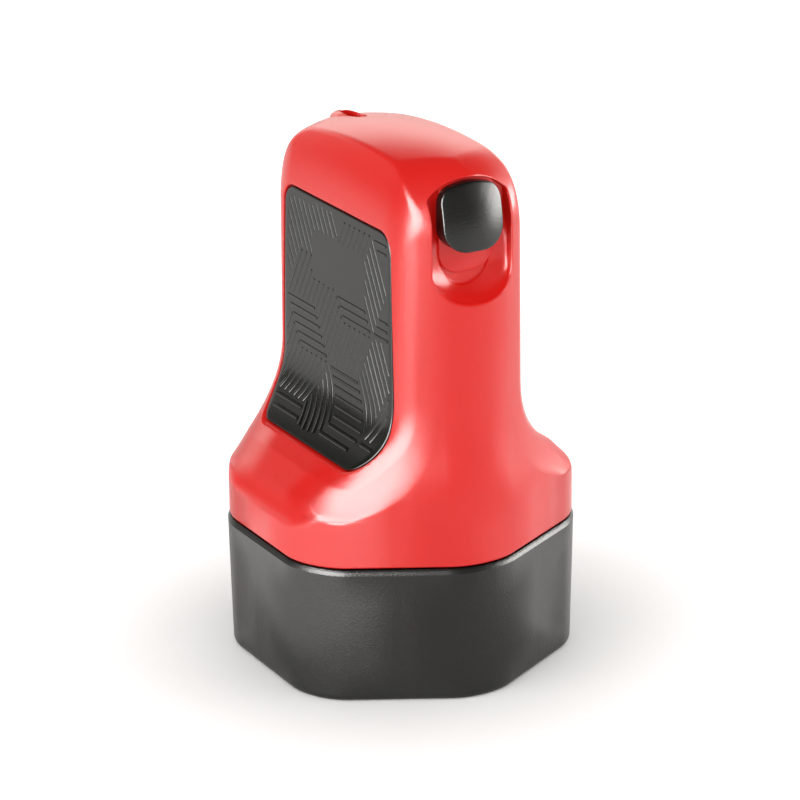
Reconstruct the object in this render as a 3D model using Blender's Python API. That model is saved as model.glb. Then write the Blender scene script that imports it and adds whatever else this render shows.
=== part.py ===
# Hand roller stamp that covers private text, with a small safety blade in its handle.
# Lengths are metres and +Z is up. The stamp stands on its cap with the origin under its centre.
# The thumb button faces +X, and the two grip pads face -Y (front) and +Y (rear).
import math

import bmesh
import bpy
import numpy as np
from mathutils import Matrix

# Clearances
FIT_GAP = 0.0003             # between pieces that touch or slide on each other
OVERRUN = 0.001              # how far a cut runs past the face that it opens
WELD = 0.000001

# Six-sided plan: two flats on Y, four slanted faces, and two apexes on X
FLAT_HALF = 0.027
CORNER_X = 0.01614
APEX_X = 0.03056
CORNER_BLEND = 0.0063
APEX_BLEND = 0.00576
LEAN = 0.00184               # the slanted faces lean in by this much between skirt and neck
LEAN_LOW_Z = 0.030
LEAN_HIGH_Z = 0.052

# Outer levels of the housing
SHELL_BASE_Z = 0.024
NECK_TOP_Z = 0.076
CROWN_Z = 0.09079

# Waist: the skirt's shelf, then a scoop up to the flat pad faces of the neck
PAD_FACE_Y = 0.01222
PAD_FACE_LEAN_SHARE = 0.016
SCOOP_TOP_Z = 0.05141
SCOOP_DROP = 0.0145
SCOOP_REACH = 0.009273
SCOOP_POWER = 2.45
SHELF_SLOPE = 1.06
SHELF_BLEND = 0.0026

# Chamfer band between a pad face and a slanted face, flaring at the foot of the neck
BAND_ANGLE = math.radians(40)
BAND_DISTANCE = 0.02382
BAND_FLARE_Z = 0.052
BAND_FLARE_HEIGHT = 0.020
BAND_FLARE = 0.00357
BAND_FLARE_POWER = 1.64
BAND_FOOT_FLARE = 0.00122
BAND_FOOT_POWER = 6.0
CREASE_BLEND = 0.0005

# Crown: an arch along X with a chamfer band on both sides
ARCH_RADIUS = 0.1123
ARCH_X = 0.00456
CROWN_RISE = 0.00092
CROWN_CREASE_Y = 0.00865
CROWN_BAND_ANGLE = math.radians(30)
CROWN_BAND_BLEND = 0.004
CROWN_END_BLEND = 0.00902

# Loft layout: rays leave a short spine inside the neck, and one column follows the crease
SPINE_HALF = 0.012
CREASE_TURN = math.radians(38)
RAY_REACH = 2 * APEX_X
SLANT_SHARES = (0.0, 0.13, 0.27, 0.42, 0.58, 0.74, 0.88, 1.0)
BAND_SHARES = (0.0, 0.07, 0.14, 0.21, 0.3, 0.42, 0.6, 0.8, 1.0)
PLAIN_SLANT_SHARES = (0.0, 0.13, 0.27, 0.55, 0.82, 0.91, 1.0)
PLAIN_BAND_SHARES = (0.0, 0.12, 0.25, 0.48, 0.75, 1.0)
DOME_LEVEL_SHARES = (0.2, 0.45, 0.7, 0.88, 1.0, 1.12, 1.25, 1.4, 1.6, 1.8, 2.0)
PLAIN_DOME_LEVEL_SHARES = (0.5, 1.0, 1.3, 1.65, 2.0)
LEVEL_COUNTS = (1, 6, 3, 8, 3)
PLAIN_LEVEL_COUNTS = (1, 3, 2, 5, 3)

# Housing shell
SHELL_WALL = 0.0024
SHELF_ROUND_LOW_Z = 0.0296
SHELF_ROUND_HIGH_Z = 0.0330

# Grip pads, set into pockets in the shell
PAD_LOW_Z = 0.0391
PAD_HIGH_Z = 0.0792
PAD_LOW_HALF = 0.0189
PAD_HIGH_HALF = 0.0181
PAD_TOP_CORNER = 0.0032
PAD_FOOT_CORNER_X = 0.0055
PAD_FOOT_CORNER_Z = 0.0072
PAD_POCKET_DEPTH = 0.0013
PAD_SINK = 0.0001

# Thumb recess and the guide tongue on its floor
RECESS_HALF = 0.0073
RECESS_FLOOR_X = 0.0214
RECESS_RIM_X = 0.0267
RECESS_LOW_Z = 0.0683
RECESS_TOP_Z = 0.0886
RECESS_TOP_RADIUS = 0.0105
RECESS_TOP_CORNER = 0.0010
RECESS_FOOT_CORNER = 0.0042
RAMP_HEIGHT = 0.0036
RAMP_POWER = 1.5
RAMP_SHARES = (0.0, 0.12, 0.3, 0.5, 0.75, 1.0, 1.6)
RECESS_WALL = 0.0018
TONGUE_HALF = 0.0052
TONGUE_RISE = 0.0006
TONGUE_LOW_Z = 0.0727
TONGUE_CORNER = 0.0038

# Thumb button
BUTTON_HALF = 0.0055
BUTTON_LOW_Z = 0.0770
BUTTON_TOP_GAP = 0.0005
BUTTON_TOP_CORNER = 0.0020
BUTTON_FOOT_CORNER = 0.0038
BUTTON_NOSE_X = 0.0260
BUTTON_NOSE_Z = 0.0780
BUTTON_PROFILE_RADIUS = 0.0250
BUTTON_FACE_RADIUS = 0.0170
BUTTON_EDGE = 0.0007
BUTTON_RING_SHARES = (0.66, 0.33, 0.0)
BUTTON_TRAVEL = 0.0045

# Button slider, behind the recess floor
STEM_HALF_Y = 0.0018
STEM_LOW_Z = 0.0816
STEM_HEIGHT = 0.0024
STEM_SEAT = 0.0014
SLIDER_THICKNESS = 0.0022
SLIDER_HALF = 0.0050
SLIDER_TOP_Z = 0.0844
SLIDER_FOOT_Z = 0.0600
SLIDER_FOOT_HEIGHT = 0.0020
SLIDER_FOOT_HALF = 0.0030
SLIDER_FOOT_REACH = 0.0052

# Rocker lever and its pin
ROCKER_X = -0.0015
ROCKER_Z = 0.0675
ROCKER_ARM = 0.0160
ROCKER_END = 0.0176
ROCKER_HALF_WIDTH = 0.0015
ROCKER_WAIST = 0.0022
ROCKER_FORK_HALF = 0.0033
ROCKER_HUB_RADIUS = 0.0034
PIN_RADIUS = 0.0015
PEG_RADIUS = 0.0012
PEG_TIP_Y = 0.0018
LUG_GAP = 0.0004
LUG_HALF = 0.0022
LUG_HEIGHT_HALF = 0.0032

# Mechanism frame: a floor on the chassis deck and two side plates
FRAME_PLATE_Y = 0.0044
FRAME_PLATE_THICKNESS = 0.0016
FRAME_FLOOR_THICKNESS = 0.0015
FRAME_FLOOR_HALF_X = 0.0185
FRAME_FLOOR_HALF_Y = 0.0093
FRAME_LEDGE_HALF_Y = 0.0032
FRAME_BACK_X = 0.0219
FRAME_TOP_Z = 0.0740
FRAME_SADDLE_Z = 0.0712
FRAME_SADDLE_BACK_X = 0.0080
FRAME_SADDLE_FRONT_X = 0.0065
FRAME_WINDOW_LOW_Z = 0.0495
FRAME_WINDOW_HIGH_Z = 0.0600
FRAME_WINDOW_HALF_X = 0.0110
RIB_LOW_Z = 0.0580
RIB_WIDTH = 0.0014
RIB_TIP_Y = 0.0022
SPRING_POST_RADIUS = 0.0012
SPRING_POST_HEIGHT = 0.0025

# Blade set
CARRIER_X = -0.0174
CARRIER_HALF = 0.0028
CARRIER_LOW_Z = 0.0615
CARRIER_STEP_Z = 0.0710
CARRIER_TOP_Z = 0.0795
BLADE_HALF = 0.0028
BLADE_THICKNESS = 0.0008
BLADE_LOW_Z = 0.0713
BLADE_SHOULDER_Z = 0.0850
BLADE_TIP_Z = 0.0885
BLADE_NOSE_HALF = 0.0010
CLAMP_THICKNESS = 0.0012
CLAMP_LOW_Z = 0.0718
CLAMP_TOP_Z = 0.0790
BLADE_PEG_RADIUS = 0.0009
BLADE_PEG_Z = (0.0735, 0.0772)

# Blade slot on the crown, with its raised lip
LIP_X = -0.0166
LIP_HALF_X = 0.0052
LIP_HALF_Y = 0.0027
LIP_HALF_Z = 0.0016
LIP_RISE = 0.0005
SLOT_HALF_X = 0.0037
SLOT_HALF_Y = 0.0008
SLOT_MOUTH_HALF_Y = 0.0015
SLOT_MOUTH_DEPTH = 0.0008

# Return spring
SPRING_X = 0.0198
SPRING_COIL_RADIUS = 0.0019
SPRING_WIRE_RADIUS = 0.00035
SPRING_TURNS = 8
SPRING_POINTS_PER_TURN = 10

# Chassis: the collar under the shell, closed by a deck at the foot of the neck
CHASSIS_BASE_Z = 0.0080
CHASSIS_WALL = 0.0018
DECK_LOW_Z = 0.0428
DECK_THICKNESS = 0.0015
SNAP_X = 0.0080
SNAP_HALF = 0.0030
SNAP_Z = 0.0262
SNAP_HEIGHT = 0.0016
SNAP_REACH = 0.0009

# Screws that hold the mechanism frame on the deck
SCREW_X = 0.0145
SCREW_Y = 0.0077
SCREW_HEAD_RADIUS = 0.0014
SCREW_HEAD_HEIGHT = 0.0012
SCREW_SHANK_RADIUS = 0.0009

# Cap
CAP_TOP_Z = 0.0237
CAP_WALL = 0.0022
CAP_FLOOR = 0.0020
CAP_FOOT_INSET = 0.0002
CAP_RIM_OUTSET = 0.00035
CAP_FOOT_FILLET = 0.0012
CAP_RIM_BEVEL_HEIGHT = 0.0011
CAP_RIM_BEVEL_WIDTH = 0.0007

# Printing roller
PRINT_Z = 0.0160
PRINT_RADIUS = 0.0130
SLEEVE_THICKNESS = 0.0014
SLEEVE_HALF = 0.0168
CORE_WALL = 0.0016
CORE_HALF = 0.0176
CORE_WEB = 0.0020
BUSH_RADIUS = 0.0042
BUSH_FLANGE_RADIUS = 0.0060
BUSH_FLANGE = 0.0008
AXLE_RADIUS = 0.0020

# Ink roller
INK_RADIUS = 0.0065
FOAM_HALF = 0.0175
INK_CORE_RADIUS = 0.0030
INK_AXLE_RADIUS = 0.0015

# Cartridge frame
PLATE_THICKNESS = 0.0014
PLATE_HALF = 0.0090
PLATE_FOOT_HALF = 0.0055
PLATE_LOW_Z = 0.0090
PLATE_FOOT_Z = 0.0140
PLATE_WAIST_Z = 0.0330
PLATE_NECK_Z = 0.0375
PLATE_NECK_HALF = 0.0063
PLATE_TOP_Z = 0.0418
RAIL_THICKNESS = 0.0015
RAIL_HEIGHT = 0.0052

# Facets
ROUND_SIDES = 32
SMALL_SIDES = 16
SCREW_SIDES = 10
PEG_SIDES = 8
CORNER_STEPS = 4
SHARP_ANGLE = math.radians(32)

# Places that follow from the sizes above
INK_Z = PRINT_Z + PRINT_RADIUS + FIT_GAP + INK_RADIUS
DECK_TOP_Z = DECK_LOW_Z + DECK_THICKNESS
FRAME_BASE_Z = DECK_TOP_Z + FIT_GAP
FRAME_FLOOR_Z = FRAME_BASE_Z + FRAME_FLOOR_THICKNESS
TONGUE_X = RECESS_FLOOR_X + TONGUE_RISE
RECESS_BACK_X = RECESS_FLOOR_X - RECESS_WALL
SLIDER_FRONT_X = RECESS_BACK_X - FIT_GAP
SLIDER_BACK_X = SLIDER_FRONT_X - SLIDER_THICKNESS
FRAME_FRONT_X = SLIDER_BACK_X - FIT_GAP
ROCKER_TILT = math.asin(BUTTON_TRAVEL / 2 / ROCKER_ARM)
PEG_REACH = ROCKER_ARM * (1 + math.cos(ROCKER_TILT)) / 2
SLIDER_PEG_X = ROCKER_X + PEG_REACH
SLIDER_PEG_Z = ROCKER_Z + BUTTON_TRAVEL / 2
CARRIER_PEG_X = ROCKER_X - PEG_REACH
CARRIER_PEG_Z = ROCKER_Z - BUTTON_TRAVEL / 2
LUG_Y = ROCKER_HALF_WIDTH + LUG_GAP
LUG_OUTER_Y = FRAME_PLATE_Y - FIT_GAP
BUTTON_BACK_X = TONGUE_X + FIT_GAP
BUTTON_TOP_Z = RECESS_TOP_Z - BUTTON_TOP_GAP
STEM_TOP_Z = STEM_LOW_Z + STEM_HEIGHT
STEM_TIP_X = BUTTON_BACK_X + STEM_SEAT
BUSH_END_X = CORE_HALF + FIT_GAP + BUSH_FLANGE
PLATE_INNER_X = BUSH_END_X + FIT_GAP
PLATE_OUTER_X = PLATE_INNER_X + PLATE_THICKNESS
RAIL_LOW_Z = PRINT_Z + PRINT_RADIUS + OVERRUN
CORE_RADIUS = PRINT_RADIUS - SLEEVE_THICKNESS - FIT_GAP


# Materials

def make_material(name, colour, roughness, metallic=0.0):
    material = bpy.data.materials.new(name)
    material.use_nodes = True
    shader = material.node_tree.nodes["Principled BSDF"]
    shader.inputs["Base Color"].default_value = (*colour, 1.0)
    shader.inputs["Roughness"].default_value = roughness
    shader.inputs["Metallic"].default_value = metallic
    material.diffuse_color = (*colour, 1.0)
    return material


def clear_scene():
    for item in list(bpy.data.objects):
        bpy.data.objects.remove(item, do_unlink=True)


# Objects and modifiers

def add_object(name, mesh, material=None, origin=(0.0, 0.0, 0.0)):
    mesh.transform(Matrix.Translation([-value for value in origin]))
    item = bpy.data.objects.new(name, mesh)
    item.location = origin
    bpy.context.scene.collection.objects.link(item)
    if material is None:
        item.hide_render = True
        item.display_type = "WIRE"
    else:
        mesh.materials.append(material)
        mesh.shade_smooth()
        mesh.set_sharp_from_angle(angle=SHARP_ANGLE)
    return item


def combine(target, tool, operation):
    modifier = target.modifiers.new(tool.name, "BOOLEAN")
    modifier.operation = operation
    modifier.object = tool


def cut(target, *tools):
    for tool in tools:
        combine(target, tool, "DIFFERENCE")


def unite(target, *tools):
    for tool in tools:
        combine(target, tool, "UNION")


def build_mesh(name, points, faces):
    form = bmesh.new()
    corners = [form.verts.new(point) for point in points]
    for face in faces:
        form.faces.new([corners[index] for index in face])
    bmesh.ops.remove_doubles(form, verts=form.verts, dist=WELD)
    bmesh.ops.recalc_face_normals(form, faces=form.faces)
    mesh = bpy.data.meshes.new(name)
    form.to_mesh(mesh)
    form.free()
    return mesh


def ring_mesh(name, rings, closed_ends=True, looped=False):
    # Bridges a stack of rings that all have the same number of points.
    count = len(rings[0])
    points = [tuple(point) for ring in rings for point in ring]
    faces = []
    pairs = list(zip(range(len(rings)), range(1, len(rings))))
    if looped:
        pairs.append((len(rings) - 1, 0))
    for low, high in pairs:
        for index in range(count):
            following = (index + 1) % count
            faces.append((low * count + index, low * count + following,
                          high * count + following, high * count + index))
    if closed_ends:
        faces.append(tuple(range(count)))
        last = (len(rings) - 1) * count
        faces.append(tuple(range(last, last + count)))
    return build_mesh(name, points, faces)


AXIS_ORDERS = {"X": (2, 0, 1), "Y": (0, 2, 1), "Z": (0, 1, 2)}


def place_on_axis(outline, level, axis):
    # An outline is (y, z) on X, (x, z) on Y and (x, y) on Z.
    order = AXIS_ORDERS[axis]
    return [[(a, b, level)[index] for index in order] for a, b in outline]


def prism(name, outline, axis, start, end, material=None, origin=(0.0, 0.0, 0.0)):
    rings = [place_on_axis(outline, level, axis) for level in (start, end)]
    return add_object(name, ring_mesh(name, rings), material, origin)


def box(name, low, high, material=None, origin=(0.0, 0.0, 0.0)):
    outline = [(low[0], low[1]), (high[0], low[1]), (high[0], high[1]), (low[0], high[1])]
    return prism(name, outline, "Z", low[2], high[2], material, origin)


def turned(name, profile, axis, centre, sides, material, origin):
    # Turns a closed profile of (place along the axis, radius) round an axis through the centre.
    rings = []
    for step in range(sides):
        angle = 2 * math.pi * step / sides
        ring = []
        for along, radius in profile:
            turn = (radius * math.cos(angle), radius * math.sin(angle))
            local = place_on_axis([turn], along, axis)[0]
            ring.append([value + offset for value, offset in zip(local, centre)])
        rings.append(ring)
    mesh = ring_mesh(name, rings, closed_ends=False, looped=True)
    return add_object(name, mesh, material, origin)


def rod(name, radius, axis, start, end, centre, sides, material=None, origin=(0.0, 0.0, 0.0)):
    outline = [(radius * math.cos(2 * math.pi * step / sides),
                radius * math.sin(2 * math.pi * step / sides)) for step in range(sides)]
    rings = []
    for level in (start, end):
        ring = place_on_axis(outline, level, axis)
        rings.append([[value + offset for value, offset in zip(point, centre)] for point in ring])
    return add_object(name, ring_mesh(name, rings), material, origin)


def arc(centre_a, centre_b, radius_a, radius_b, start, end, steps=CORNER_STEPS):
    angles = [math.radians(start + (end - start) * step / steps) for step in range(steps + 1)]
    return [(centre_a + radius_a * math.cos(angle), centre_b + radius_b * math.sin(angle))
            for angle in angles]


# Outer form: each function gives how deep a point lies inside one face of the hull

def smooth_min(first, second, blend):
    both = (first < blend) & (second < blend)
    corner = np.hypot(np.maximum(blend - first, 0.0), np.maximum(blend - second, 0.0))
    return np.where(both, blend - corner, np.minimum(first, second))


def slant_depth(x, y, z):
    length = math.hypot(APEX_X - CORNER_X, FLAT_HALF)
    normal_x = FLAT_HALF / length
    normal_y = (APEX_X - CORNER_X) / length
    share = np.clip((z - LEAN_LOW_Z) / (LEAN_HIGH_Z - LEAN_LOW_Z), 0.0, 1.0)
    reach = normal_x * APEX_X - LEAN * share * share * (3.0 - 2.0 * share)
    near = reach - normal_x * np.abs(x) - normal_y * y
    far = reach - normal_x * np.abs(x) + normal_y * y
    return smooth_min(near, far, APEX_BLEND)


def flat_depth(y):
    return FLAT_HALF - np.abs(y)


def crown_depth(x, y, z):
    arch = CROWN_Z - (x - ARCH_X) ** 2 / (2.0 * ARCH_RADIUS)
    return arch + CROWN_RISE * (1.0 - (y / CROWN_CREASE_Y) ** 2) - z


def band_depth(x, y, z):
    flare = np.maximum(BAND_FLARE_Z - z, 0.0) / BAND_FLARE_HEIGHT
    distance = (BAND_DISTANCE + BAND_FLARE * flare ** BAND_FLARE_POWER
                + BAND_FOOT_FLARE * flare ** BAND_FOOT_POWER)
    side = distance - math.cos(BAND_ANGLE) * np.abs(x) - math.sin(BAND_ANGLE) * np.abs(y)
    arch = CROWN_Z - (x - ARCH_X) ** 2 / (2.0 * ARCH_RADIUS)
    crown = (math.cos(CROWN_BAND_ANGLE) * (CROWN_CREASE_Y - np.abs(y))
             + math.sin(CROWN_BAND_ANGLE) * (arch - z))
    return smooth_min(side, crown, CROWN_BAND_BLEND)


def waist_depth(y, z):
    fall = np.maximum(SCOOP_TOP_Z - z, 0.0) / SCOOP_DROP
    scoop = SCOOP_REACH * np.minimum(fall, 1.0) ** SCOOP_POWER
    shelf = SHELF_SLOPE * SCOOP_DROP * np.maximum(fall - 1.0, 0.0)
    lean = PAD_FACE_LEAN_SHARE * np.maximum(z - SCOOP_TOP_Z, 0.0)
    return PAD_FACE_Y + scoop + shelf - lean - np.abs(y)


def plan_depth(x, y, z):
    body = smooth_min(slant_depth(x, y, z), flat_depth(y), CORNER_BLEND)
    return smooth_min(body, crown_depth(x, y, z), CROWN_END_BLEND)


def hull_depth(x, y, z):
    outer = smooth_min(plan_depth(x, y, z), band_depth(x, y, z), CREASE_BLEND)
    return smooth_min(outer, waist_depth(y, z), SHELF_BLEND)


def surface_points(starts, directions, inset):
    # Halves each ray until it meets the surface that lies the inset inside the hull.
    near = np.zeros(len(starts))
    far = np.full(len(starts), RAY_REACH)
    for _ in range(40):
        middle = (near + far) / 2.0
        points = starts + directions * middle[:, None]
        inside = hull_depth(points[:, 0], points[:, 1], points[:, 2]) > inset
        near = np.where(inside, middle, near)
        far = np.where(inside, far, middle)
    return starts + directions * near[:, None]


def hull_points(side, headings, tilts, level, inset):
    # Headings turn from the X axis (side +1 or -1) to +Y, and tilts rise from level to upright.
    cosine = side * np.cos(headings)
    starts = np.stack([SPINE_HALF * cosine, 0.0 * headings, 0.0 * headings + level], axis=1)
    directions = np.stack([cosine * np.cos(tilts), np.sin(headings) * np.cos(tilts),
                           np.sin(tilts)], axis=1)
    return surface_points(starts, directions, inset)


def first_crossing(places, values):
    above = np.nonzero(values > 0.0)[0]
    if len(above) == 0 or above[0] == 0:
        return None
    index = above[0]
    share = -values[index - 1] / (values[index] - values[index - 1])
    return places[index - 1] + share * (places[index] - places[index - 1])


def crease_heading(side, level, tilt, inset):
    # Where the slanted face meets the band, or the corner of the plan where there is no band.
    headings = np.linspace(0.0, math.pi / 2.0, 240)
    points = hull_points(side, headings, 0.0 * headings + tilt, level, inset)
    x, y, z = points.T
    crease = first_crossing(headings, plan_depth(x, y, z) - band_depth(x, y, z))
    corner = first_crossing(headings, slant_depth(x, y, z) - flat_depth(y))
    known = [value for value in (crease, corner) if value is not None]
    return min(known) if known else CREASE_TURN


def crease_tilt(side, heading, inset):
    tilts = np.linspace(math.pi / 2.0, 0.0, 240)
    points = hull_points(side, 0.0 * tilts + heading, tilts, NECK_TOP_Z, inset)
    x, y, z = points.T
    return first_crossing(tilts, plan_depth(x, y, z) - band_depth(x, y, z))


def spread(knot, slants, bands):
    quarter = math.pi / 2.0
    return np.array([share * knot for share in slants]
                    + [knot + share * (quarter - knot) for share in bands[1:]])


def wall_quadrant(side, level, inset, slants, bands):
    knot = crease_heading(side, level, 0.0, inset)
    headings = spread(knot, slants, bands)
    return hull_points(side, headings, 0.0 * headings, level, inset)


def dome_quadrant(side, rise, inset, slants, bands):
    # Rise runs from 0 at the neck's top over 1 at the crease to 2 at the ridge.
    crown_headings = spread(CREASE_TURN, slants, bands)
    band_start = len(slants) - 1
    creases = np.array([crease_tilt(side, heading, inset) for heading in crown_headings[band_start:]])
    creases = np.concatenate([np.full(band_start, creases[0]), creases])
    if rise > 1.0:
        tilts = creases + (rise - 1.0) * (math.pi / 2.0 - creases)
        return hull_points(side, crown_headings, tilts, NECK_TOP_Z, inset)
    knot = crease_heading(side, NECK_TOP_Z, rise * creases[0], inset)
    headings = spread(knot, slants, bands)
    return hull_points(side, headings, rise * creases, NECK_TOP_Z, inset)


def whole_ring(quadrant, *settings):
    front = quadrant(1.0, *settings)
    back = quadrant(-1.0, *settings)
    half = np.concatenate([front, back[-2::-1]])
    mirror = half[-2:0:-1] * np.array([1.0, -1.0, 1.0])
    return np.concatenate([half, mirror])


def wall_ring(level, inset, slants=SLANT_SHARES, bands=BAND_SHARES):
    return whole_ring(wall_quadrant, level, inset, slants, bands)


def dome_ring(rise, inset, slants=SLANT_SHARES, bands=BAND_SHARES):
    return whole_ring(dome_quadrant, rise, inset, slants, bands)


def stations(levels, counts):
    # Even steps between named levels, the last level included.
    places = []
    for low, high, count in zip(levels, levels[1:], counts):
        places += [low + (high - low) * step / count for step in range(count)]
    return places + [levels[-1]]


def closed_dome_mesh(name, rings):
    # The last ring lies on the ridge, where its two halves weld.
    mesh_rings = ring_mesh(name, rings, closed_ends=False)
    form = bmesh.new()
    form.from_mesh(mesh_rings)
    rim = [edge for edge in form.edges if edge.is_boundary]
    bmesh.ops.contextual_create(form, geom=rim)
    bmesh.ops.recalc_face_normals(form, faces=form.faces)
    form.to_mesh(mesh_rings)
    form.free()
    return mesh_rings


# Housing shell

def wall_levels(base_z, counts):
    levels = (base_z, SHELF_ROUND_LOW_Z, SHELF_ROUND_HIGH_Z, SCOOP_TOP_Z - SCOOP_DROP,
              SCOOP_TOP_Z, NECK_TOP_Z)
    return stations(levels, counts)


def hull_solid(name, inset, base_z, counts, slants, bands, dome_rises, material=None):
    rings = [wall_ring(level, inset, slants, bands) for level in wall_levels(base_z, counts)]
    rings += [dome_ring(rise, inset, slants, bands) for rise in dome_rises]
    return add_object(name, closed_dome_mesh(name, rings), material)


def crown_height(x):
    points = surface_points(np.array([[x, 0.0, NECK_TOP_Z]]), np.array([[0.0, 0.0, 1.0]]), 0.0)
    return points[0][2]


def lens(name, centre, halves):
    form = bmesh.new()
    bmesh.ops.create_uvsphere(form, u_segments=SMALL_SIDES, v_segments=SMALL_SIDES // 2, radius=1.0)
    bmesh.ops.scale(form, vec=halves, verts=form.verts)
    bmesh.ops.translate(form, vec=centre, verts=form.verts)
    mesh = bpy.data.meshes.new(name)
    form.to_mesh(mesh)
    form.free()
    return add_object(name, mesh)


def recess_outline(low_z, grow):
    half = RECESS_HALF + grow
    foot = RECESS_FOOT_CORNER + grow
    top_z = RECESS_TOP_Z + grow
    round_z = top_z - RECESS_TOP_RADIUS
    corner = RECESS_TOP_CORNER
    swing = math.degrees(math.acos((half - corner) / RECESS_TOP_RADIUS))
    shoulder_z = round_z + RECESS_TOP_RADIUS * math.sin(math.radians(swing)) - corner
    base = low_z - grow + foot
    points = arc(half - foot, base, foot, foot, -90, 0)
    points.append((half, shoulder_z))
    points += arc(0.0, round_z, RECESS_TOP_RADIUS, RECESS_TOP_RADIUS, swing, 180 - swing,
                  2 * CORNER_STEPS)
    points.append((-half, shoulder_z))
    points += arc(foot - half, base, foot, foot, 180, 270)
    return points


def recess_cutter():
    rings = []
    for share in RAMP_SHARES:
        drop = max(1.0 - share, 0.0) ** RAMP_POWER
        place = RECESS_FLOOR_X + share * (RECESS_RIM_X - RECESS_FLOOR_X)
        outline = recess_outline(RECESS_LOW_Z + RAMP_HEIGHT * drop, 0.0)
        rings.append(place_on_axis(outline, place, "X"))
    cutter = add_object("recess_cutter", ring_mesh("recess_cutter", rings))
    half, corner = TONGUE_HALF, TONGUE_CORNER
    outline = arc(half - corner, TONGUE_LOW_Z + corner, corner, corner, -90, 0)
    outline += [(half, RECESS_TOP_Z + OVERRUN), (-half, RECESS_TOP_Z + OVERRUN)]
    outline += arc(corner - half, TONGUE_LOW_Z + corner, corner, corner, 180, 270)
    tongue = prism("tongue_form", outline, "X", RECESS_FLOOR_X - OVERRUN, TONGUE_X)
    cut(cutter, tongue)
    return cutter


def cavity_cutter():
    cavity = hull_solid("cavity_cutter", SHELL_WALL, SHELL_BASE_Z - OVERRUN, PLAIN_LEVEL_COUNTS,
                        PLAIN_SLANT_SHARES, PLAIN_BAND_SHARES, PLAIN_DOME_LEVEL_SHARES)
    boss = prism("recess_boss", recess_outline(RECESS_LOW_Z, RECESS_WALL), "X", RECESS_BACK_X,
                 RECESS_RIM_X + RECESS_WALL)
    cut(cavity, boss)
    return cavity


def slot_cutters():
    top = crown_height(LIP_X) + LIP_RISE
    mouth = lens("slot_mouth", (LIP_X, 0.0, top),
                 (SLOT_HALF_X + FIT_GAP, SLOT_MOUTH_HALF_Y, SLOT_MOUTH_DEPTH))
    slit = box("slot_slit", (LIP_X - SLOT_HALF_X, -SLOT_HALF_Y, top - 2 * SHELL_WALL),
               (LIP_X + SLOT_HALF_X, SLOT_HALF_Y, top + OVERRUN))
    return mouth, slit


def stem_slot():
    low = STEM_LOW_Z - BUTTON_TRAVEL - FIT_GAP
    half = STEM_HALF_Y + FIT_GAP
    return box("stem_slot", (RECESS_BACK_X - OVERRUN, -half, low),
               (TONGUE_X + OVERRUN, half, STEM_TOP_Z + FIT_GAP))


def snap_boxes(name, grow, inner_y):
    boxes = []
    reach = FLAT_HALF - SHELL_WALL - FIT_GAP + SNAP_REACH
    for index, (x, side) in enumerate([(-SNAP_X, -1), (SNAP_X, -1), (-SNAP_X, 1), (SNAP_X, 1)]):
        ends = sorted((side * inner_y, side * (reach + grow)))
        boxes.append(box(f"{name}_{index + 1}", (x - SNAP_HALF - grow, ends[0], SNAP_Z - grow),
                         (x + SNAP_HALF + grow, ends[1], SNAP_Z + SNAP_HEIGHT + grow)))
    return boxes


def make_housing_shell(material):
    shell = hull_solid("housing_shell", 0.0, SHELL_BASE_Z, LEVEL_COUNTS, SLANT_SHARES, BAND_SHARES,
                       DOME_LEVEL_SHARES, material)
    top = crown_height(LIP_X) + LIP_RISE - LIP_HALF_Z
    unite(shell, lens("slot_lip", (LIP_X, 0.0, top), (LIP_HALF_X, LIP_HALF_Y, LIP_HALF_Z)))
    cut(shell, cavity_cutter())
    for side in (-1.0, 1.0):
        name = "front_pocket" if side < 0 else "rear_pocket"
        cut(shell, pad_solid(name, side, FIT_GAP, -OVERRUN, PAD_POCKET_DEPTH))
    cut(shell, recess_cutter(), stem_slot(), *slot_cutters())
    cut(shell, *snap_boxes("snap_window", FIT_GAP, FLAT_HALF - SHELL_WALL - OVERRUN))
    return shell


# Grip pads

def pad_rows(grow):
    # Pairs of (height, half width) from the foot of a pad to its top.
    low, high = PAD_LOW_Z - grow, PAD_HIGH_Z + grow
    foot_x, foot_z = PAD_FOOT_CORNER_X + grow, PAD_FOOT_CORNER_Z + grow
    top = PAD_TOP_CORNER + grow
    rows = [(low + foot_z + z, PAD_LOW_HALF + grow - foot_x + x)
            for x, z in arc(0.0, 0.0, foot_x, foot_z, -90, 0, 5)]
    rows += [(level, PAD_LOW_HALF + grow) for level in stations((low + foot_z, SCOOP_TOP_Z), (2,))[1:]]
    rows += [(high - top + z, PAD_HIGH_HALF + grow - top + x)
             for x, z in arc(0.0, 0.0, top, top, 0, 90, CORNER_STEPS)]
    return rows


def pad_solid(name, side, grow, outer_depth, inner_depth, material=None):
    shares = np.linspace(-1.0, 1.0, 9)
    sheets = []
    for depth in (outer_depth, inner_depth):
        sheet = []
        for level, half in pad_rows(grow):
            starts = np.stack([shares * half, 0.0 * shares, 0.0 * shares + level], axis=1)
            directions = np.tile([0.0, side, 0.0], (len(shares), 1))
            sheet.append(surface_points(starts, directions, depth))
        sheets.append(sheet)
    return add_object(name, sheet_mesh(name, *sheets), material)


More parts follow.
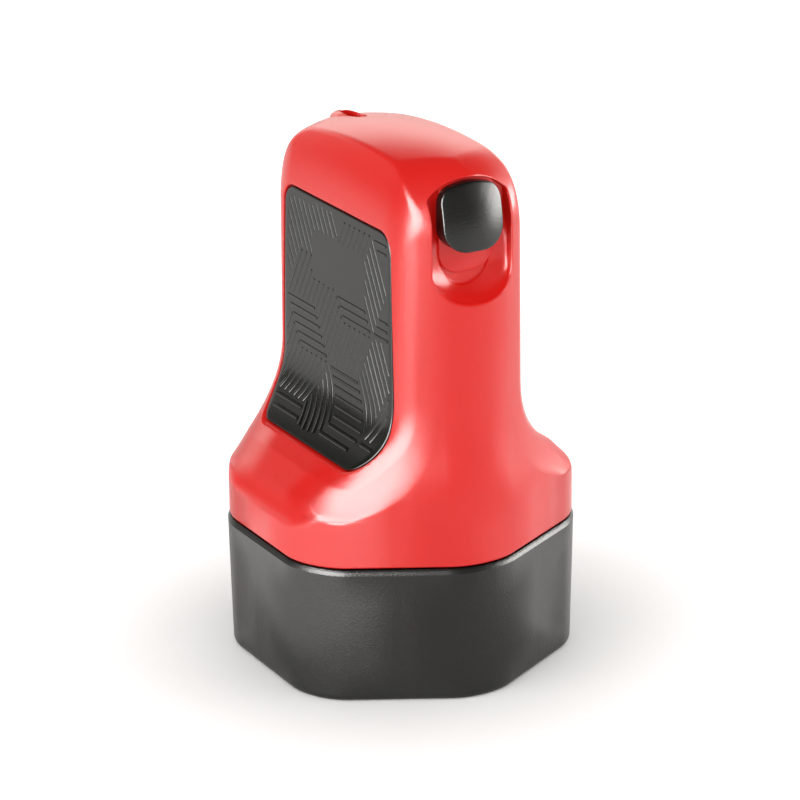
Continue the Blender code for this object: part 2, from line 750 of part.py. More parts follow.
def sheet_mesh(name, outer, inner):
    # Two matching grids of points, joined round their rims.
    rows, columns = len(outer), len(outer[0])
    points = [tuple(point) for sheet in (outer, inner) for row in sheet for point in row]
    faces = []
    for offset in (0, rows * columns):
        for row in range(rows - 1):
            for column in range(columns - 1):
                corner = offset + row * columns + column
                faces.append((corner, corner + 1, corner + columns + 1, corner + columns))
    rim = [(0, column) for column in range(columns)]
    rim += [(row, columns - 1) for row in range(1, rows)]
    rim += [(rows - 1, column) for column in range(columns - 2, -1, -1)]
    rim += [(row, 0) for row in range(rows - 2, 0, -1)]
    for (row, column), (next_row, next_column) in zip(rim, rim[1:] + rim[:1]):
        start = row * columns + column
        end = next_row * columns + next_column
        faces.append((start, end, end + rows * columns, start + rows * columns))
    return build_mesh(name, points, faces)


def make_grip_pads(material):
    depth = PAD_POCKET_DEPTH - FIT_GAP
    pad_solid("front_grip_pad", -1.0, 0.0, PAD_SINK, depth, material)
    pad_solid("rear_grip_pad", 1.0, 0.0, PAD_SINK, depth, material)


# Cap and chassis

def make_cap(material):
    rings = []
    for angle in np.linspace(0.0, math.pi / 2.0, 5):
        inset = CAP_FOOT_INSET + CAP_FOOT_FILLET * (1.0 - math.sin(angle))
        rings.append(wall_ring(CAP_FOOT_FILLET * (1.0 - math.cos(angle)), inset))
    bevel_z = CAP_TOP_Z - CAP_RIM_BEVEL_HEIGHT
    rings.append(wall_ring(bevel_z, -CAP_RIM_OUTSET))
    rings.append(wall_ring(bevel_z + CAP_RIM_BEVEL_HEIGHT / 2, CAP_RIM_BEVEL_WIDTH / 4 - CAP_RIM_OUTSET))
    rings.append(wall_ring(CAP_TOP_Z, CAP_RIM_BEVEL_WIDTH - CAP_RIM_OUTSET))
    cap = add_object("cap", ring_mesh("cap", rings), material)
    inner = [wall_ring(level, CAP_WALL, PLAIN_SLANT_SHARES, PLAIN_BAND_SHARES)
             for level in (CAP_FLOOR, CAP_TOP_Z + OVERRUN)]
    cut(cap, add_object("cap_cavity", ring_mesh("cap_cavity", inner)))
    return cap


def cut_levels(levels, top_z):
    return [level for level in levels if level < top_z] + [top_z]


def make_chassis(material):
    collar = CAP_WALL + FIT_GAP
    seat = SHELL_WALL + FIT_GAP
    levels = wall_levels(SHELL_BASE_Z + FIT_GAP, PLAIN_LEVEL_COUNTS)
    shares = (PLAIN_SLANT_SHARES, PLAIN_BAND_SHARES)
    rings = [wall_ring(level, collar, *shares) for level in (CHASSIS_BASE_Z, CAP_TOP_Z)]
    rings += [wall_ring(level, seat, *shares) for level in cut_levels(levels, DECK_TOP_Z)]
    chassis = add_object("chassis", ring_mesh("chassis", rings), material)
    depth = CHASSIS_WALL
    inner = [wall_ring(level, collar + depth, *shares) for level in (CHASSIS_BASE_Z - OVERRUN, CAP_TOP_Z)]
    inner += [wall_ring(level, seat + depth, *shares) for level in cut_levels(levels, DECK_LOW_Z)]
    cut(chassis, add_object("chassis_cavity", ring_mesh("chassis_cavity", inner)))
    inner_y = FLAT_HALF - seat - CHASSIS_WALL / 2
    unite(chassis, *snap_boxes("snap_bead", 0.0, inner_y))
    for index, (x, y) in enumerate(screw_places()):
        cut(chassis, rod(f"deck_bore_{index + 1}", SCREW_SHANK_RADIUS + FIT_GAP, "Z", DECK_LOW_Z - OVERRUN,
                         DECK_TOP_Z + OVERRUN, (x, y, 0.0), SMALL_SIDES))
    return chassis


# Rollers and their cartridge frame

def make_print_roller(plastic, rubber, metal):
    centre = (0.0, 0.0, PRINT_Z)
    bore = BUSH_RADIUS + FIT_GAP
    inner = CORE_RADIUS - CORE_WALL
    web = CORE_HALF - CORE_WEB
    profile = [(-CORE_HALF, bore), (-CORE_HALF, CORE_RADIUS), (CORE_HALF, CORE_RADIUS), (CORE_HALF, bore),
               (web, bore), (web, inner), (-web, inner), (-web, bore)]
    turned("print_core", profile, "X", centre, ROUND_SIDES, plastic, centre)
    profile = [(-SLEEVE_HALF, PRINT_RADIUS - SLEEVE_THICKNESS), (-SLEEVE_HALF, PRINT_RADIUS),
               (SLEEVE_HALF, PRINT_RADIUS), (SLEEVE_HALF, PRINT_RADIUS - SLEEVE_THICKNESS)]
    turned("print_sleeve", profile, "X", centre, ROUND_SIDES, rubber, centre)
    hole = AXLE_RADIUS + FIT_GAP
    flange = CORE_HALF + FIT_GAP
    for name, side in (("print_bush_left", -1), ("print_bush_right", 1)):
        profile = [(side * web, hole), (side * web, BUSH_RADIUS), (side * flange, BUSH_RADIUS),
                   (side * flange, BUSH_FLANGE_RADIUS), (side * BUSH_END_X, BUSH_FLANGE_RADIUS),
                   (side * BUSH_END_X, hole)]
        turned(name, profile, "X", centre, ROUND_SIDES // 2, plastic, centre)
    rod("print_axle", AXLE_RADIUS, "X", -PLATE_OUTER_X, PLATE_OUTER_X, centre, SMALL_SIDES, metal, centre)


def make_ink_roller(plastic, foam, metal):
    centre = (0.0, 0.0, INK_Z)
    hole = INK_AXLE_RADIUS + FIT_GAP
    profile = [(-BUSH_END_X, hole), (-BUSH_END_X, INK_CORE_RADIUS), (BUSH_END_X, INK_CORE_RADIUS),
               (BUSH_END_X, hole)]
    turned("ink_core", profile, "X", centre, SMALL_SIDES, plastic, centre)
    inner = INK_CORE_RADIUS + FIT_GAP
    profile = [(-FOAM_HALF, inner), (-FOAM_HALF, INK_RADIUS), (FOAM_HALF, INK_RADIUS), (FOAM_HALF, inner)]
    turned("ink_foam", profile, "X", centre, ROUND_SIDES, foam, centre)
    rod("ink_axle", INK_AXLE_RADIUS, "X", -PLATE_OUTER_X, PLATE_OUTER_X, centre, SMALL_SIDES, metal, centre)


def make_cartridge_frame(material):
    right = [(PLATE_FOOT_HALF, PLATE_LOW_Z), (PLATE_HALF, PLATE_FOOT_Z), (PLATE_HALF, PLATE_WAIST_Z),
             (PLATE_NECK_HALF, PLATE_NECK_Z), (PLATE_NECK_HALF, PLATE_TOP_Z)]
    outline = right + [(-y, z) for y, z in reversed(right)]
    frame = prism("cartridge_frame", outline, "X", PLATE_INNER_X, PLATE_OUTER_X, material)
    tools = [prism("far_end_plate", outline, "X", -PLATE_OUTER_X, -PLATE_INNER_X)]
    reach = PLATE_INNER_X + PLATE_THICKNESS / 2
    for name, low, high in (("front_rail", -PLATE_HALF, RAIL_THICKNESS - PLATE_HALF),
                            ("rear_rail", PLATE_HALF - RAIL_THICKNESS, PLATE_HALF)):
        top = RAIL_LOW_Z + RAIL_HEIGHT
        tools.append(box(name, (-reach, low, RAIL_LOW_Z), (reach, high, top)))
    unite(frame, *tools)
    for name, radius, level in (("print_axle_bore", AXLE_RADIUS, PRINT_Z),
                                ("ink_axle_bore", INK_AXLE_RADIUS, INK_Z)):
        reach = PLATE_OUTER_X + OVERRUN
        cut(frame, rod(name, radius + FIT_GAP, "X", -reach, reach, (0.0, 0.0, level), SMALL_SIDES))
    return frame


# Mechanism frame, its screws and the rocker pin

def screw_places():
    return [(-SCREW_X, -SCREW_Y), (SCREW_X, -SCREW_Y), (-SCREW_X, SCREW_Y), (SCREW_X, SCREW_Y)]


def side_plate_outline():
    back = -FRAME_BACK_X
    return [(back + RIB_WIDTH * 2, FRAME_FLOOR_Z - FRAME_FLOOR_THICKNESS / 2),
            (FRAME_FRONT_X, FRAME_FLOOR_Z - FRAME_FLOOR_THICKNESS / 2),
            (FRAME_FRONT_X, FRAME_TOP_Z), (FRAME_SADDLE_BACK_X, FRAME_TOP_Z),
            (ROCKER_X + FRAME_SADDLE_FRONT_X, FRAME_SADDLE_Z),
            (ROCKER_X - FRAME_SADDLE_FRONT_X, FRAME_SADDLE_Z),
            (-FRAME_SADDLE_BACK_X - RIB_WIDTH, FRAME_TOP_Z), (back, FRAME_TOP_Z), (back, RIB_LOW_Z)]


def make_mechanism_frame(material):
    frame = box("mechanism_frame", (-FRAME_FLOOR_HALF_X, -FRAME_FLOOR_HALF_Y, FRAME_BASE_Z),
                (FRAME_FLOOR_HALF_X, FRAME_FLOOR_HALF_Y, FRAME_FLOOR_Z), material)
    ledge_x = SPRING_X + SPRING_COIL_RADIUS + SPRING_WIRE_RADIUS
    tools = [box("spring_ledge", (FRAME_FLOOR_HALF_X - OVERRUN, -FRAME_LEDGE_HALF_Y, FRAME_BASE_Z),
                 (ledge_x, FRAME_LEDGE_HALF_Y, FRAME_FLOOR_Z)),
             rod("spring_post", SPRING_POST_RADIUS, "Z", FRAME_FLOOR_Z - FRAME_FLOOR_THICKNESS / 2,
                 FRAME_FLOOR_Z + SPRING_POST_HEIGHT, (SPRING_X, 0.0, 0.0), SMALL_SIDES)]
    outer = FRAME_PLATE_Y + FRAME_PLATE_THICKNESS
    rib_front_x = CARRIER_X + CARRIER_HALF + FIT_GAP
    for side in (-1, 1):
        label = "front" if side < 0 else "rear"
        tools.append(prism(f"{label}_side_plate", side_plate_outline(), "Y",
                           side * FRAME_PLATE_Y, side * outer))
        ends = sorted((side * RIB_TIP_Y, side * (FRAME_PLATE_Y + FRAME_PLATE_THICKNESS / 2)))
        for place, low_x, high_x in (("back", -FRAME_BACK_X, CARRIER_X - CARRIER_HALF - FIT_GAP),
                                     ("inner", rib_front_x, rib_front_x + RIB_WIDTH)):
            tools.append(box(f"{label}_{place}_rib", (low_x, ends[0], RIB_LOW_Z),
                             (high_x, ends[1], FRAME_TOP_Z - OVERRUN)))
    unite(frame, *tools)
    reach = outer + OVERRUN
    cut(frame, rod("pin_bore", PIN_RADIUS + FIT_GAP, "Y", -reach, reach,
                   (ROCKER_X, 0.0, ROCKER_Z), SMALL_SIDES))
    cut(frame, box("plate_window", (ROCKER_X - FRAME_WINDOW_HALF_X, -reach, FRAME_WINDOW_LOW_Z),
                   (ROCKER_X + FRAME_WINDOW_HALF_X, reach, FRAME_WINDOW_HIGH_Z)))
    for index, (x, y) in enumerate(screw_places()):
        cut(frame, rod(f"floor_bore_{index + 1}", SCREW_SHANK_RADIUS + FIT_GAP, "Z", FRAME_BASE_Z - OVERRUN,
                       FRAME_FLOOR_Z + OVERRUN, (x, y, 0.0), SMALL_SIDES))
    return frame


def make_frame_screws(metal):
    seat = FRAME_FLOOR_Z + FIT_GAP
    profile = [(DECK_LOW_Z + FIT_GAP, 0.0), (DECK_LOW_Z + FIT_GAP, SCREW_SHANK_RADIUS),
               (seat, SCREW_SHANK_RADIUS), (seat, SCREW_HEAD_RADIUS),
               (seat + SCREW_HEAD_HEIGHT, SCREW_HEAD_RADIUS), (seat + SCREW_HEAD_HEIGHT, 0.0)]
    for index, (x, y) in enumerate(screw_places()):
        turned(f"frame_screw_{index + 1}", profile, "Z", (x, y, 0.0), SCREW_SIDES, metal, (x, y, seat))


def make_rocker_pin(metal):
    reach = FRAME_PLATE_Y + FRAME_PLATE_THICKNESS
    centre = (ROCKER_X, 0.0, ROCKER_Z)
    rod("rocker_pin", PIN_RADIUS, "Y", -reach, reach, centre, SMALL_SIDES, metal, centre)


# Blade mechanism: slider, rocker and carrier

def make_rocker(material):
    slot_half = PEG_RADIUS + FIT_GAP
    slot_start = ROCKER_ARM - PEG_RADIUS - 2 * FIT_GAP
    root = slot_start - ROCKER_FORK_HALF
    right = [(ROCKER_HUB_RADIUS, -ROCKER_WAIST), (root, -ROCKER_WAIST), (slot_start, -ROCKER_FORK_HALF),
             (ROCKER_END, -ROCKER_FORK_HALF), (ROCKER_END, -slot_half), (slot_start, -slot_half),
             (slot_start, slot_half), (ROCKER_END, slot_half), (ROCKER_END, ROCKER_FORK_HALF),
             (slot_start, ROCKER_FORK_HALF), (root, ROCKER_WAIST), (ROCKER_HUB_RADIUS, ROCKER_WAIST)]
    outline = right + [(-x, -z) for x, z in right]
    turn = (math.cos(ROCKER_TILT), math.sin(ROCKER_TILT))
    outline = [(ROCKER_X + x * turn[0] - z * turn[1], ROCKER_Z + x * turn[1] + z * turn[0])
               for x, z in outline]
    centre = (ROCKER_X, 0.0, ROCKER_Z)
    lever = prism("rocker_lever", outline, "Y", -ROCKER_HALF_WIDTH, ROCKER_HALF_WIDTH, material, centre)
    unite(lever, rod("rocker_hub", ROCKER_HUB_RADIUS, "Y", -LUG_OUTER_Y, LUG_OUTER_Y, centre, SMALL_SIDES))
    reach = LUG_OUTER_Y + OVERRUN
    cut(lever, rod("rocker_bore", PIN_RADIUS + FIT_GAP, "Y", -reach, reach, centre, SMALL_SIDES))
    return lever


def make_button_slider(material):
    origin = (SLIDER_BACK_X, 0.0, SLIDER_FOOT_Z)
    slider = box("button_slider", (SLIDER_BACK_X, -SLIDER_HALF, SLIDER_FOOT_Z),
                 (SLIDER_FRONT_X, SLIDER_HALF, SLIDER_TOP_Z), material, origin)
    stem = box("slider_stem", (SLIDER_FRONT_X - SLIDER_THICKNESS / 2, -STEM_HALF_Y, STEM_LOW_Z),
               (STEM_TIP_X, STEM_HALF_Y, STEM_TOP_Z))
    foot = box("slider_foot", (SLIDER_FRONT_X - SLIDER_THICKNESS / 2, -SLIDER_FOOT_HALF, SLIDER_FOOT_Z),
               (SLIDER_BACK_X + SLIDER_FOOT_REACH, SLIDER_FOOT_HALF, SLIDER_FOOT_Z + SLIDER_FOOT_HEIGHT))
    lug = box("slider_lug", (SLIDER_PEG_X - LUG_HALF, LUG_Y, SLIDER_PEG_Z - LUG_HEIGHT_HALF),
              (SLIDER_BACK_X + SLIDER_THICKNESS / 2, LUG_OUTER_Y, SLIDER_PEG_Z + LUG_HEIGHT_HALF))
    peg = rod("slider_peg", PEG_RADIUS, "Y", -PEG_TIP_Y, (LUG_Y + LUG_OUTER_Y) / 2,
              (SLIDER_PEG_X, 0.0, SLIDER_PEG_Z), SMALL_SIDES)
    unite(slider, stem, foot, lug, peg)
    return slider


def make_blade_carrier(material):
    step_y = BLADE_THICKNESS / 2 + FIT_GAP
    outline = [(LUG_Y, CARRIER_LOW_Z), (LUG_OUTER_Y, CARRIER_LOW_Z), (LUG_OUTER_Y, CARRIER_TOP_Z),
               (step_y, CARRIER_TOP_Z), (step_y, CARRIER_STEP_Z), (LUG_Y, CARRIER_STEP_Z)]
    carrier = prism("blade_carrier", outline, "X", CARRIER_X - CARRIER_HALF, CARRIER_X + CARRIER_HALF,
                    material, (CARRIER_X, 0.0, CARRIER_PEG_Z))
    unite(carrier, rod("carrier_peg", PEG_RADIUS, "Y", -PEG_TIP_Y, (LUG_Y + LUG_OUTER_Y) / 2,
                       (CARRIER_PEG_X, 0.0, CARRIER_PEG_Z), SMALL_SIDES))
    for name, level in zip(("low_blade_peg", "high_blade_peg"), BLADE_PEG_Z):
        tip = -step_y - CLAMP_THICKNESS
        unite(carrier, rod(name, BLADE_PEG_RADIUS, "Y", tip, LUG_Y,
                           (CARRIER_X, 0.0, level), PEG_SIDES))
    return carrier


def make_blade(material):
    low_x, high_x = CARRIER_X - BLADE_HALF, CARRIER_X + BLADE_HALF
    outline = [(low_x, BLADE_LOW_Z), (high_x, BLADE_LOW_Z), (high_x, BLADE_SHOULDER_Z)]
    nose = BLADE_NOSE_HALF
    outline += arc(CARRIER_X, BLADE_TIP_Z - nose, nose, nose, 45, 135)
    outline.append((low_x, BLADE_SHOULDER_Z))
    half = BLADE_THICKNESS / 2
    blade = prism("ceramic_blade", outline, "Y", -half, half, material, (CARRIER_X, 0.0, BLADE_LOW_Z))
    for name, level in zip(("low_blade_hole", "high_blade_hole"), BLADE_PEG_Z):
        cut(blade, rod(name, BLADE_PEG_RADIUS + FIT_GAP, "Y", -half - OVERRUN, half + OVERRUN,
                       (CARRIER_X, 0.0, level), SMALL_SIDES))
    return blade


def make_blade_clamp(material):
    near = -BLADE_THICKNESS / 2 - FIT_GAP
    clamp = box("blade_clamp", (CARRIER_X - BLADE_HALF, near - CLAMP_THICKNESS, CLAMP_LOW_Z),
                (CARRIER_X + BLADE_HALF, near, CLAMP_TOP_Z), material, (CARRIER_X, near, CLAMP_LOW_Z))
    for name, level in zip(("low_clamp_hole", "high_clamp_hole"), BLADE_PEG_Z):
        cut(clamp, rod(name, BLADE_PEG_RADIUS + FIT_GAP, "Y", near - CLAMP_THICKNESS - OVERRUN,
                       near + OVERRUN, (CARRIER_X, 0.0, level), SMALL_SIDES))
    return clamp


# Thumb button and its spring

def button_outline(inset):
    half = BUTTON_HALF - inset
    foot = BUTTON_FOOT_CORNER - inset
    corner = BUTTON_TOP_CORNER - inset
    low = BUTTON_LOW_Z + inset
    top = BUTTON_TOP_Z - inset
    points = arc(half - foot, low + foot, foot, foot, -90, 0)
    drop = RECESS_TOP_RADIUS - math.sqrt(RECESS_TOP_RADIUS ** 2 - (half - corner) ** 2)
    points += arc(half - corner, top - drop - corner, corner, corner, 0, 66)
    points.append((0.0, top))
    points += arc(corner - half, top - drop - corner, corner, corner, 114, 180)
    points += arc(foot - half, low + foot, foot, foot, 180, 270)
    return points


def button_face_x(y, z):
    rise = z - BUTTON_NOSE_Z
    return BUTTON_NOSE_X - rise ** 2 / (2 * BUTTON_PROFILE_RADIUS) - y ** 2 / (2 * BUTTON_FACE_RADIUS)


def make_thumb_button(material):
    rings = [place_on_axis(button_outline(0.0), BUTTON_BACK_X, "X")]
    for angle in (0.0, math.pi / 6, math.pi / 3, math.pi / 2):
        inset = BUTTON_EDGE * (1.0 - math.cos(angle))
        sink = BUTTON_EDGE * (1.0 - math.sin(angle))
        rings.append([(button_face_x(y, z) - sink, y, z) for y, z in button_outline(inset)])
    centre_z = (BUTTON_LOW_Z + BUTTON_TOP_Z) / 2
    edge = button_outline(BUTTON_EDGE)
    for share in BUTTON_RING_SHARES:
        ring = [(share * y, centre_z + share * (z - centre_z)) for y, z in edge]
        rings.append([(button_face_x(y, z), y, z) for y, z in ring])
    count = len(rings[0])
    points = [point for ring in rings for point in ring]
    faces = [tuple(range(count))]
    for level in range(len(rings) - 1):
        for index in range(count):
            following = (index + 1) % count
            faces.append((level * count + index, level * count + following,
                          (level + 1) * count + following, (level + 1) * count + index))
    mesh = build_mesh("thumb_button", points, faces)
    button = add_object("thumb_button", mesh, material, (BUTTON_BACK_X, 0.0, centre_z))
    grow = FIT_GAP
    cut(button, box("stem_pocket", (BUTTON_BACK_X - OVERRUN, -STEM_HALF_Y - grow, STEM_LOW_Z - grow),
                    (STEM_TIP_X + grow, STEM_HALF_Y + grow, STEM_TOP_Z + grow)))
    return button


def spring_points():
    low = FRAME_FLOOR_Z + FIT_GAP + SPRING_WIRE_RADIUS
    high = SLIDER_FOOT_Z - FIT_GAP - SPRING_WIRE_RADIUS
    total = SPRING_TURNS * SPRING_POINTS_PER_TURN
    points = []
    for step in range(total + 1):
        angle = 2 * math.pi * step / SPRING_POINTS_PER_TURN
        points.append((SPRING_X + SPRING_COIL_RADIUS * math.cos(angle),
                       SPRING_COIL_RADIUS * math.sin(angle), low + (high - low) * step / total))
    return points


def least_self_gap(points):
    places = np.array(points)
    apart = SPRING_POINTS_PER_TURN // 2
    gaps = [np.linalg.norm(places[index + apart:] - places[index], axis=1).min()
            for index in range(len(places) - apart)]
    return min(gaps) - 2 * SPRING_WIRE_RADIUS


def make_return_spring(metal):
    points = spring_points()
    curve = bpy.data.curves.new("return_spring", "CURVE")
    curve.dimensions = "3D"
    curve.bevel_depth = SPRING_WIRE_RADIUS
    curve.bevel_resolution = 1
    curve.use_fill_caps = True
    spline = curve.splines.new("POLY")
    spline.points.add(len(points) - 1)
    for target, point in zip(spline.points, points):
        target.co = (*point, 1.0)
    curve.materials.append(metal)
    spring = bpy.data.objects.new("return_spring", curve)
    bpy.context.scene.collection.objects.link(spring)
    print("return spring, least gap between turns in metres:", round(least_self_gap(points), 6))
    return spring


def main():
    clear_scene()
    red = make_material("red_shell", (0.72, 0.035, 0.03), 0.42)
    black = make_material("black_plastic", (0.045, 0.045, 0.042), 0.5)
    pad_grey = make_material("pad_rubber", (0.075, 0.078, 0.07), 0.75)
    frame_grey = make_material("frame_plastic", (0.25, 0.25, 0.26), 0.5)
    pale = make_material("pale_plastic", (0.6, 0.6, 0.58), 0.45)
    rubber = make_material("print_rubber", (0.28, 0.03, 0.03), 0.7)
    foam = make_material("ink_foam", (0.02, 0.02, 0.03), 0.95)
    steel = make_material("steel", (0.6, 0.6, 0.62), 0.3, 1.0)
    ceramic = make_material("ceramic", (0.85, 0.85, 0.82), 0.25)
    make_cap(black)
    make_housing_shell(red)
    make_grip_pads(pad_grey)
    make_chassis(black)
    make_cartridge_frame(frame_grey)
    make_print_roller(pale, rubber, steel)
    make_ink_roller(pale, foam, steel)
    make_mechanism_frame(frame_grey)
    make_frame_screws(steel)
    make_rocker_pin(steel)
    make_rocker(pale)
    make_button_slider(frame_grey)
    make_blade_carrier(pale)
    make_blade(ceramic)
    make_blade_clamp(pale)
    make_thumb_button(black)
    make_return_spring(steel)


main()
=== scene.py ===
import math
import bmesh
import bpy
import numpy as np
from mathutils import Matrix, Vector


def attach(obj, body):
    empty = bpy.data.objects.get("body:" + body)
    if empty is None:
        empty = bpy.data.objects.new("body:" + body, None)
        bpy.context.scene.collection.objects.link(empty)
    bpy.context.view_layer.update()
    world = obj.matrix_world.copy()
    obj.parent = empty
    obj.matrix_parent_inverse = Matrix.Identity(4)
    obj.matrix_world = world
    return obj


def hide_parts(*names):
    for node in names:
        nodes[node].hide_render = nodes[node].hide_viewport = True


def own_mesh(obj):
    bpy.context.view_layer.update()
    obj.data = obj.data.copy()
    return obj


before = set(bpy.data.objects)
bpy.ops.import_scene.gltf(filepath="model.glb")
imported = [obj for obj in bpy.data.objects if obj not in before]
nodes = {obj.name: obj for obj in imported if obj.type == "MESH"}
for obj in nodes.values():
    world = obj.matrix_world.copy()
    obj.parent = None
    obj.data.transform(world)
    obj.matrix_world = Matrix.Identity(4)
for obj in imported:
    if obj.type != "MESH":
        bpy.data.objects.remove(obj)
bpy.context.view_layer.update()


# ---- camera, at the photograph's angle ----
camera = {
    "azimuth": math.radians(60.68), "elevation": math.radians(20.08), "roll": math.radians(-0.5472),
    "distance": 0.5823, "aim": (0.0, 0.0, 0.045), "slideRight": 0.0001055, "slideUp": -0.001314,
    "lens": 154.85, "sensor": 36.0, "clip": (0.01, 20.0),
}


def placeCamera():
    azimuth, elevation, roll = camera["azimuth"], camera["elevation"], camera["roll"]
    back = Vector((math.sin(azimuth) * math.cos(elevation), -math.cos(azimuth) * math.cos(elevation),
                   math.sin(elevation)))
    levelRight = Vector((math.cos(azimuth), math.sin(azimuth), 0.0))
    levelUp = back.cross(levelRight)
    right = math.cos(roll) * levelRight + math.sin(roll) * levelUp
    up = math.cos(roll) * levelUp - math.sin(roll) * levelRight
    place = Vector(camera["aim"]) + back * camera["distance"]
    place += right * camera["slideRight"] + up * camera["slideUp"]
    data = bpy.data.cameras.new("photoCamera")
    data.lens, data.sensor_width = camera["lens"], camera["sensor"]
    data.clip_start, data.clip_end = camera["clip"]
    holder = bpy.data.objects.new("photoCamera", data)
    holder.matrix_world = Matrix((
        (right.x, up.x, back.x, place.x), (right.y, up.y, back.y, place.y),
        (right.z, up.z, back.z, place.z), (0.0, 0.0, 0.0, 1.0)))
    bpy.context.scene.collection.objects.link(holder)
    bpy.context.scene.camera = holder


# ---- light, floor and background ----
studio = {
    "lamps": [
        # name, bearing from +X and height in degrees, distance, width, tall, glow (white is 1), colour
        # and what it lights, gloss or matte
        ("keyGloss", -65.0, 15.0, 0.40, 0.39, 0.32, 16.0, (1.0, 0.985, 0.97), "gloss"),
        ("keySoft", -84.0, 28.0, 0.80, 0.62, 0.62, 1.5, (1.0, 0.985, 0.97), "matte"),
        ("sideGloss", 72.0, 7.0, 0.80, 0.66, 0.34, 9.5, (1.0, 0.98, 0.95), "gloss"),
        ("sideSoft", 50.0, 16.0, 0.80, 0.50, 0.34, 1.9, (1.0, 0.98, 0.95), "matte"),
        ("topFill", -10.0, 58.0, 0.90, 0.75, 0.75, 0.5, (1.0, 0.985, 0.97), "matte"),
    ],
    "aim": (0.0, 0.0, 0.045), "powerPerArea": 4.0,
    # sky glow by the sine of its height: just over the floor, at the backdrop's top edge, past it, overhead
    "skyStops": ((0.0, 1.1), (0.39, 2.6), (0.42, 0.05), (1.0, 0.02)), "skyColour": (1.0, 0.985, 0.92),
    "skyBearing": 120.0, "skySide": 0.15, "skyTurn": (-0.1, 0.6),
    "ambient": 0.62, "ambientColour": (1.0, 0.99, 0.975),
    "floorSize": 6.0, "floorColour": (0.86, 0.86, 0.855), "floorRoughness": 0.75, "floorSpecular": 0.2,
    # the floor's own glow near the stamp and far from it, as the camera and as gloss see it; the glow is lower
    # near the stamp, a painted shade round its foot on top of the real shadow
    "floorShown": (0.09, 0.60), "paintedShadeFade": (0.02, 0.09), "floorGloss": (0.0, 0.26), "glossPaintedShadeFade": (0.04, 0.24),
    # painted light: the floor under the side light glows brighter as gloss sees it, a painted pool of that
    # light
    "floorSidePaintedLight": 0.36, "floorSideFrom": (0.0, 0.08),
    # the lamps' spill on the floor beside the stamp, seen in gloss only: place, width, depth, glow
    "spills": (((0.015, -0.135, 0.0015), 0.15, 0.19, 1.0), ((0.060, 0.080, 0.0015), 0.08, 0.11, 0.6)),
}


def placeLamps():
    for name, bearing, height, distance, width, tall, glow, colour, lights in studio["lamps"]:
        turn, rise = math.radians(bearing), math.radians(height)
        away = Vector((math.cos(turn) * math.cos(rise), math.sin(turn) * math.cos(rise), math.sin(rise)))
        data = bpy.data.lights.new(name, "AREA")
        data.shape, data.size, data.size_y = "RECTANGLE", width, tall
        data.energy, data.color = glow * studio["powerPerArea"] * width * tall, colour
        lamp = bpy.data.objects.new(name, data)
        lamp.location = Vector(studio["aim"]) + away * distance
        lamp.rotation_euler = away.to_track_quat("Z", "Y").to_euler()
        lamp.visible_diffuse, lamp.visible_glossy = lights != "gloss", lights != "matte"
        bpy.context.scene.collection.objects.link(lamp)


def placeSpills():
    for place, width, depth, glow in studio["spills"]:
        data = bpy.data.lights.new("floorSpill", "AREA")
        data.shape, data.size, data.size_y = "RECTANGLE", width, depth
        data.energy = glow * studio["powerPerArea"] * width * depth
        lamp = bpy.data.objects.new("floorSpill", data)
        lamp.location, lamp.rotation_euler = place, (math.pi, 0.0, 0.0)
        lamp.visible_diffuse = lamp.visible_camera = False
        bpy.context.scene.collection.objects.link(lamp)


def makeSky():
    # gloss sees a lit backdrop low behind the stamp, dark above it; the camera sees plain white
    # and matt surfaces an even glow
    world = bpy.data.worlds.new("studioSky")
    world.use_nodes = True
    tree = world.node_tree
    tree.nodes.clear()
    output = addNode(tree, "ShaderNodeOutputWorld")
    seen = addNode(tree, "ShaderNodeLightPath")
    place = addNode(tree, "ShaderNodeTexCoord")
    split = addNode(tree, "ShaderNodeSeparateXYZ")
    fade = addNode(tree, "ShaderNodeValToRGB")
    brightest = max(glow for level, glow in studio["skyStops"])
    fade.color_ramp.elements.remove(fade.color_ramp.elements[1])
    for index, (level, glow) in enumerate(studio["skyStops"]):
        stop = fade.color_ramp.elements.new(level) if index else fade.color_ramp.elements[0]
        stop.position, stop.color = level, (*[glow / brightest] * 3, 1.0)
    facing = addNode(tree, "ShaderNodeVectorMath", operation="DOT_PRODUCT")
    turn = math.radians(studio["skyBearing"])
    facing.inputs[1].default_value = (math.cos(turn), math.sin(turn), 0.0)
    around = fadeNode(tree, *studio["skyTurn"], studio["skySide"] * brightest, brightest)
    glow = addNode(tree, "ShaderNodeMath", operation="MULTIPLY")
    light = addNode(tree, "ShaderNodeBackground", Color=(*studio["skyColour"], 1.0))
    even = addNode(tree, "ShaderNodeBackground", Color=(*studio["ambientColour"], 1.0),
                   Strength=studio["ambient"])
    sort = addNode(tree, "ShaderNodeMixShader")
    white = addNode(tree, "ShaderNodeBackground", Color=(1.0, 1.0, 1.0, 1.0))
    pick = addNode(tree, "ShaderNodeMixShader")
    join(tree, (place, "Generated", split, "Vector"), (place, "Generated", facing, 0),
         (split, "Z", fade, "Fac"), (facing, "Value", around, "Value"), (fade, "Color", glow, 0),
         (around, "Result", glow, 1), (glow, "Value", light, "Strength"), (seen, "Is Camera Ray", pick, "Fac"),
         (seen, "Is Diffuse Ray", sort, "Fac"), (light, "Background", sort, 1), (even, "Background", sort, 2),
         (sort, "Shader", pick, 1), (white, "Background", pick, 2), (pick, "Shader", output, "Surface"))
    bpy.context.scene.world = world
    bpy.context.scene.view_settings.view_transform = "Standard"


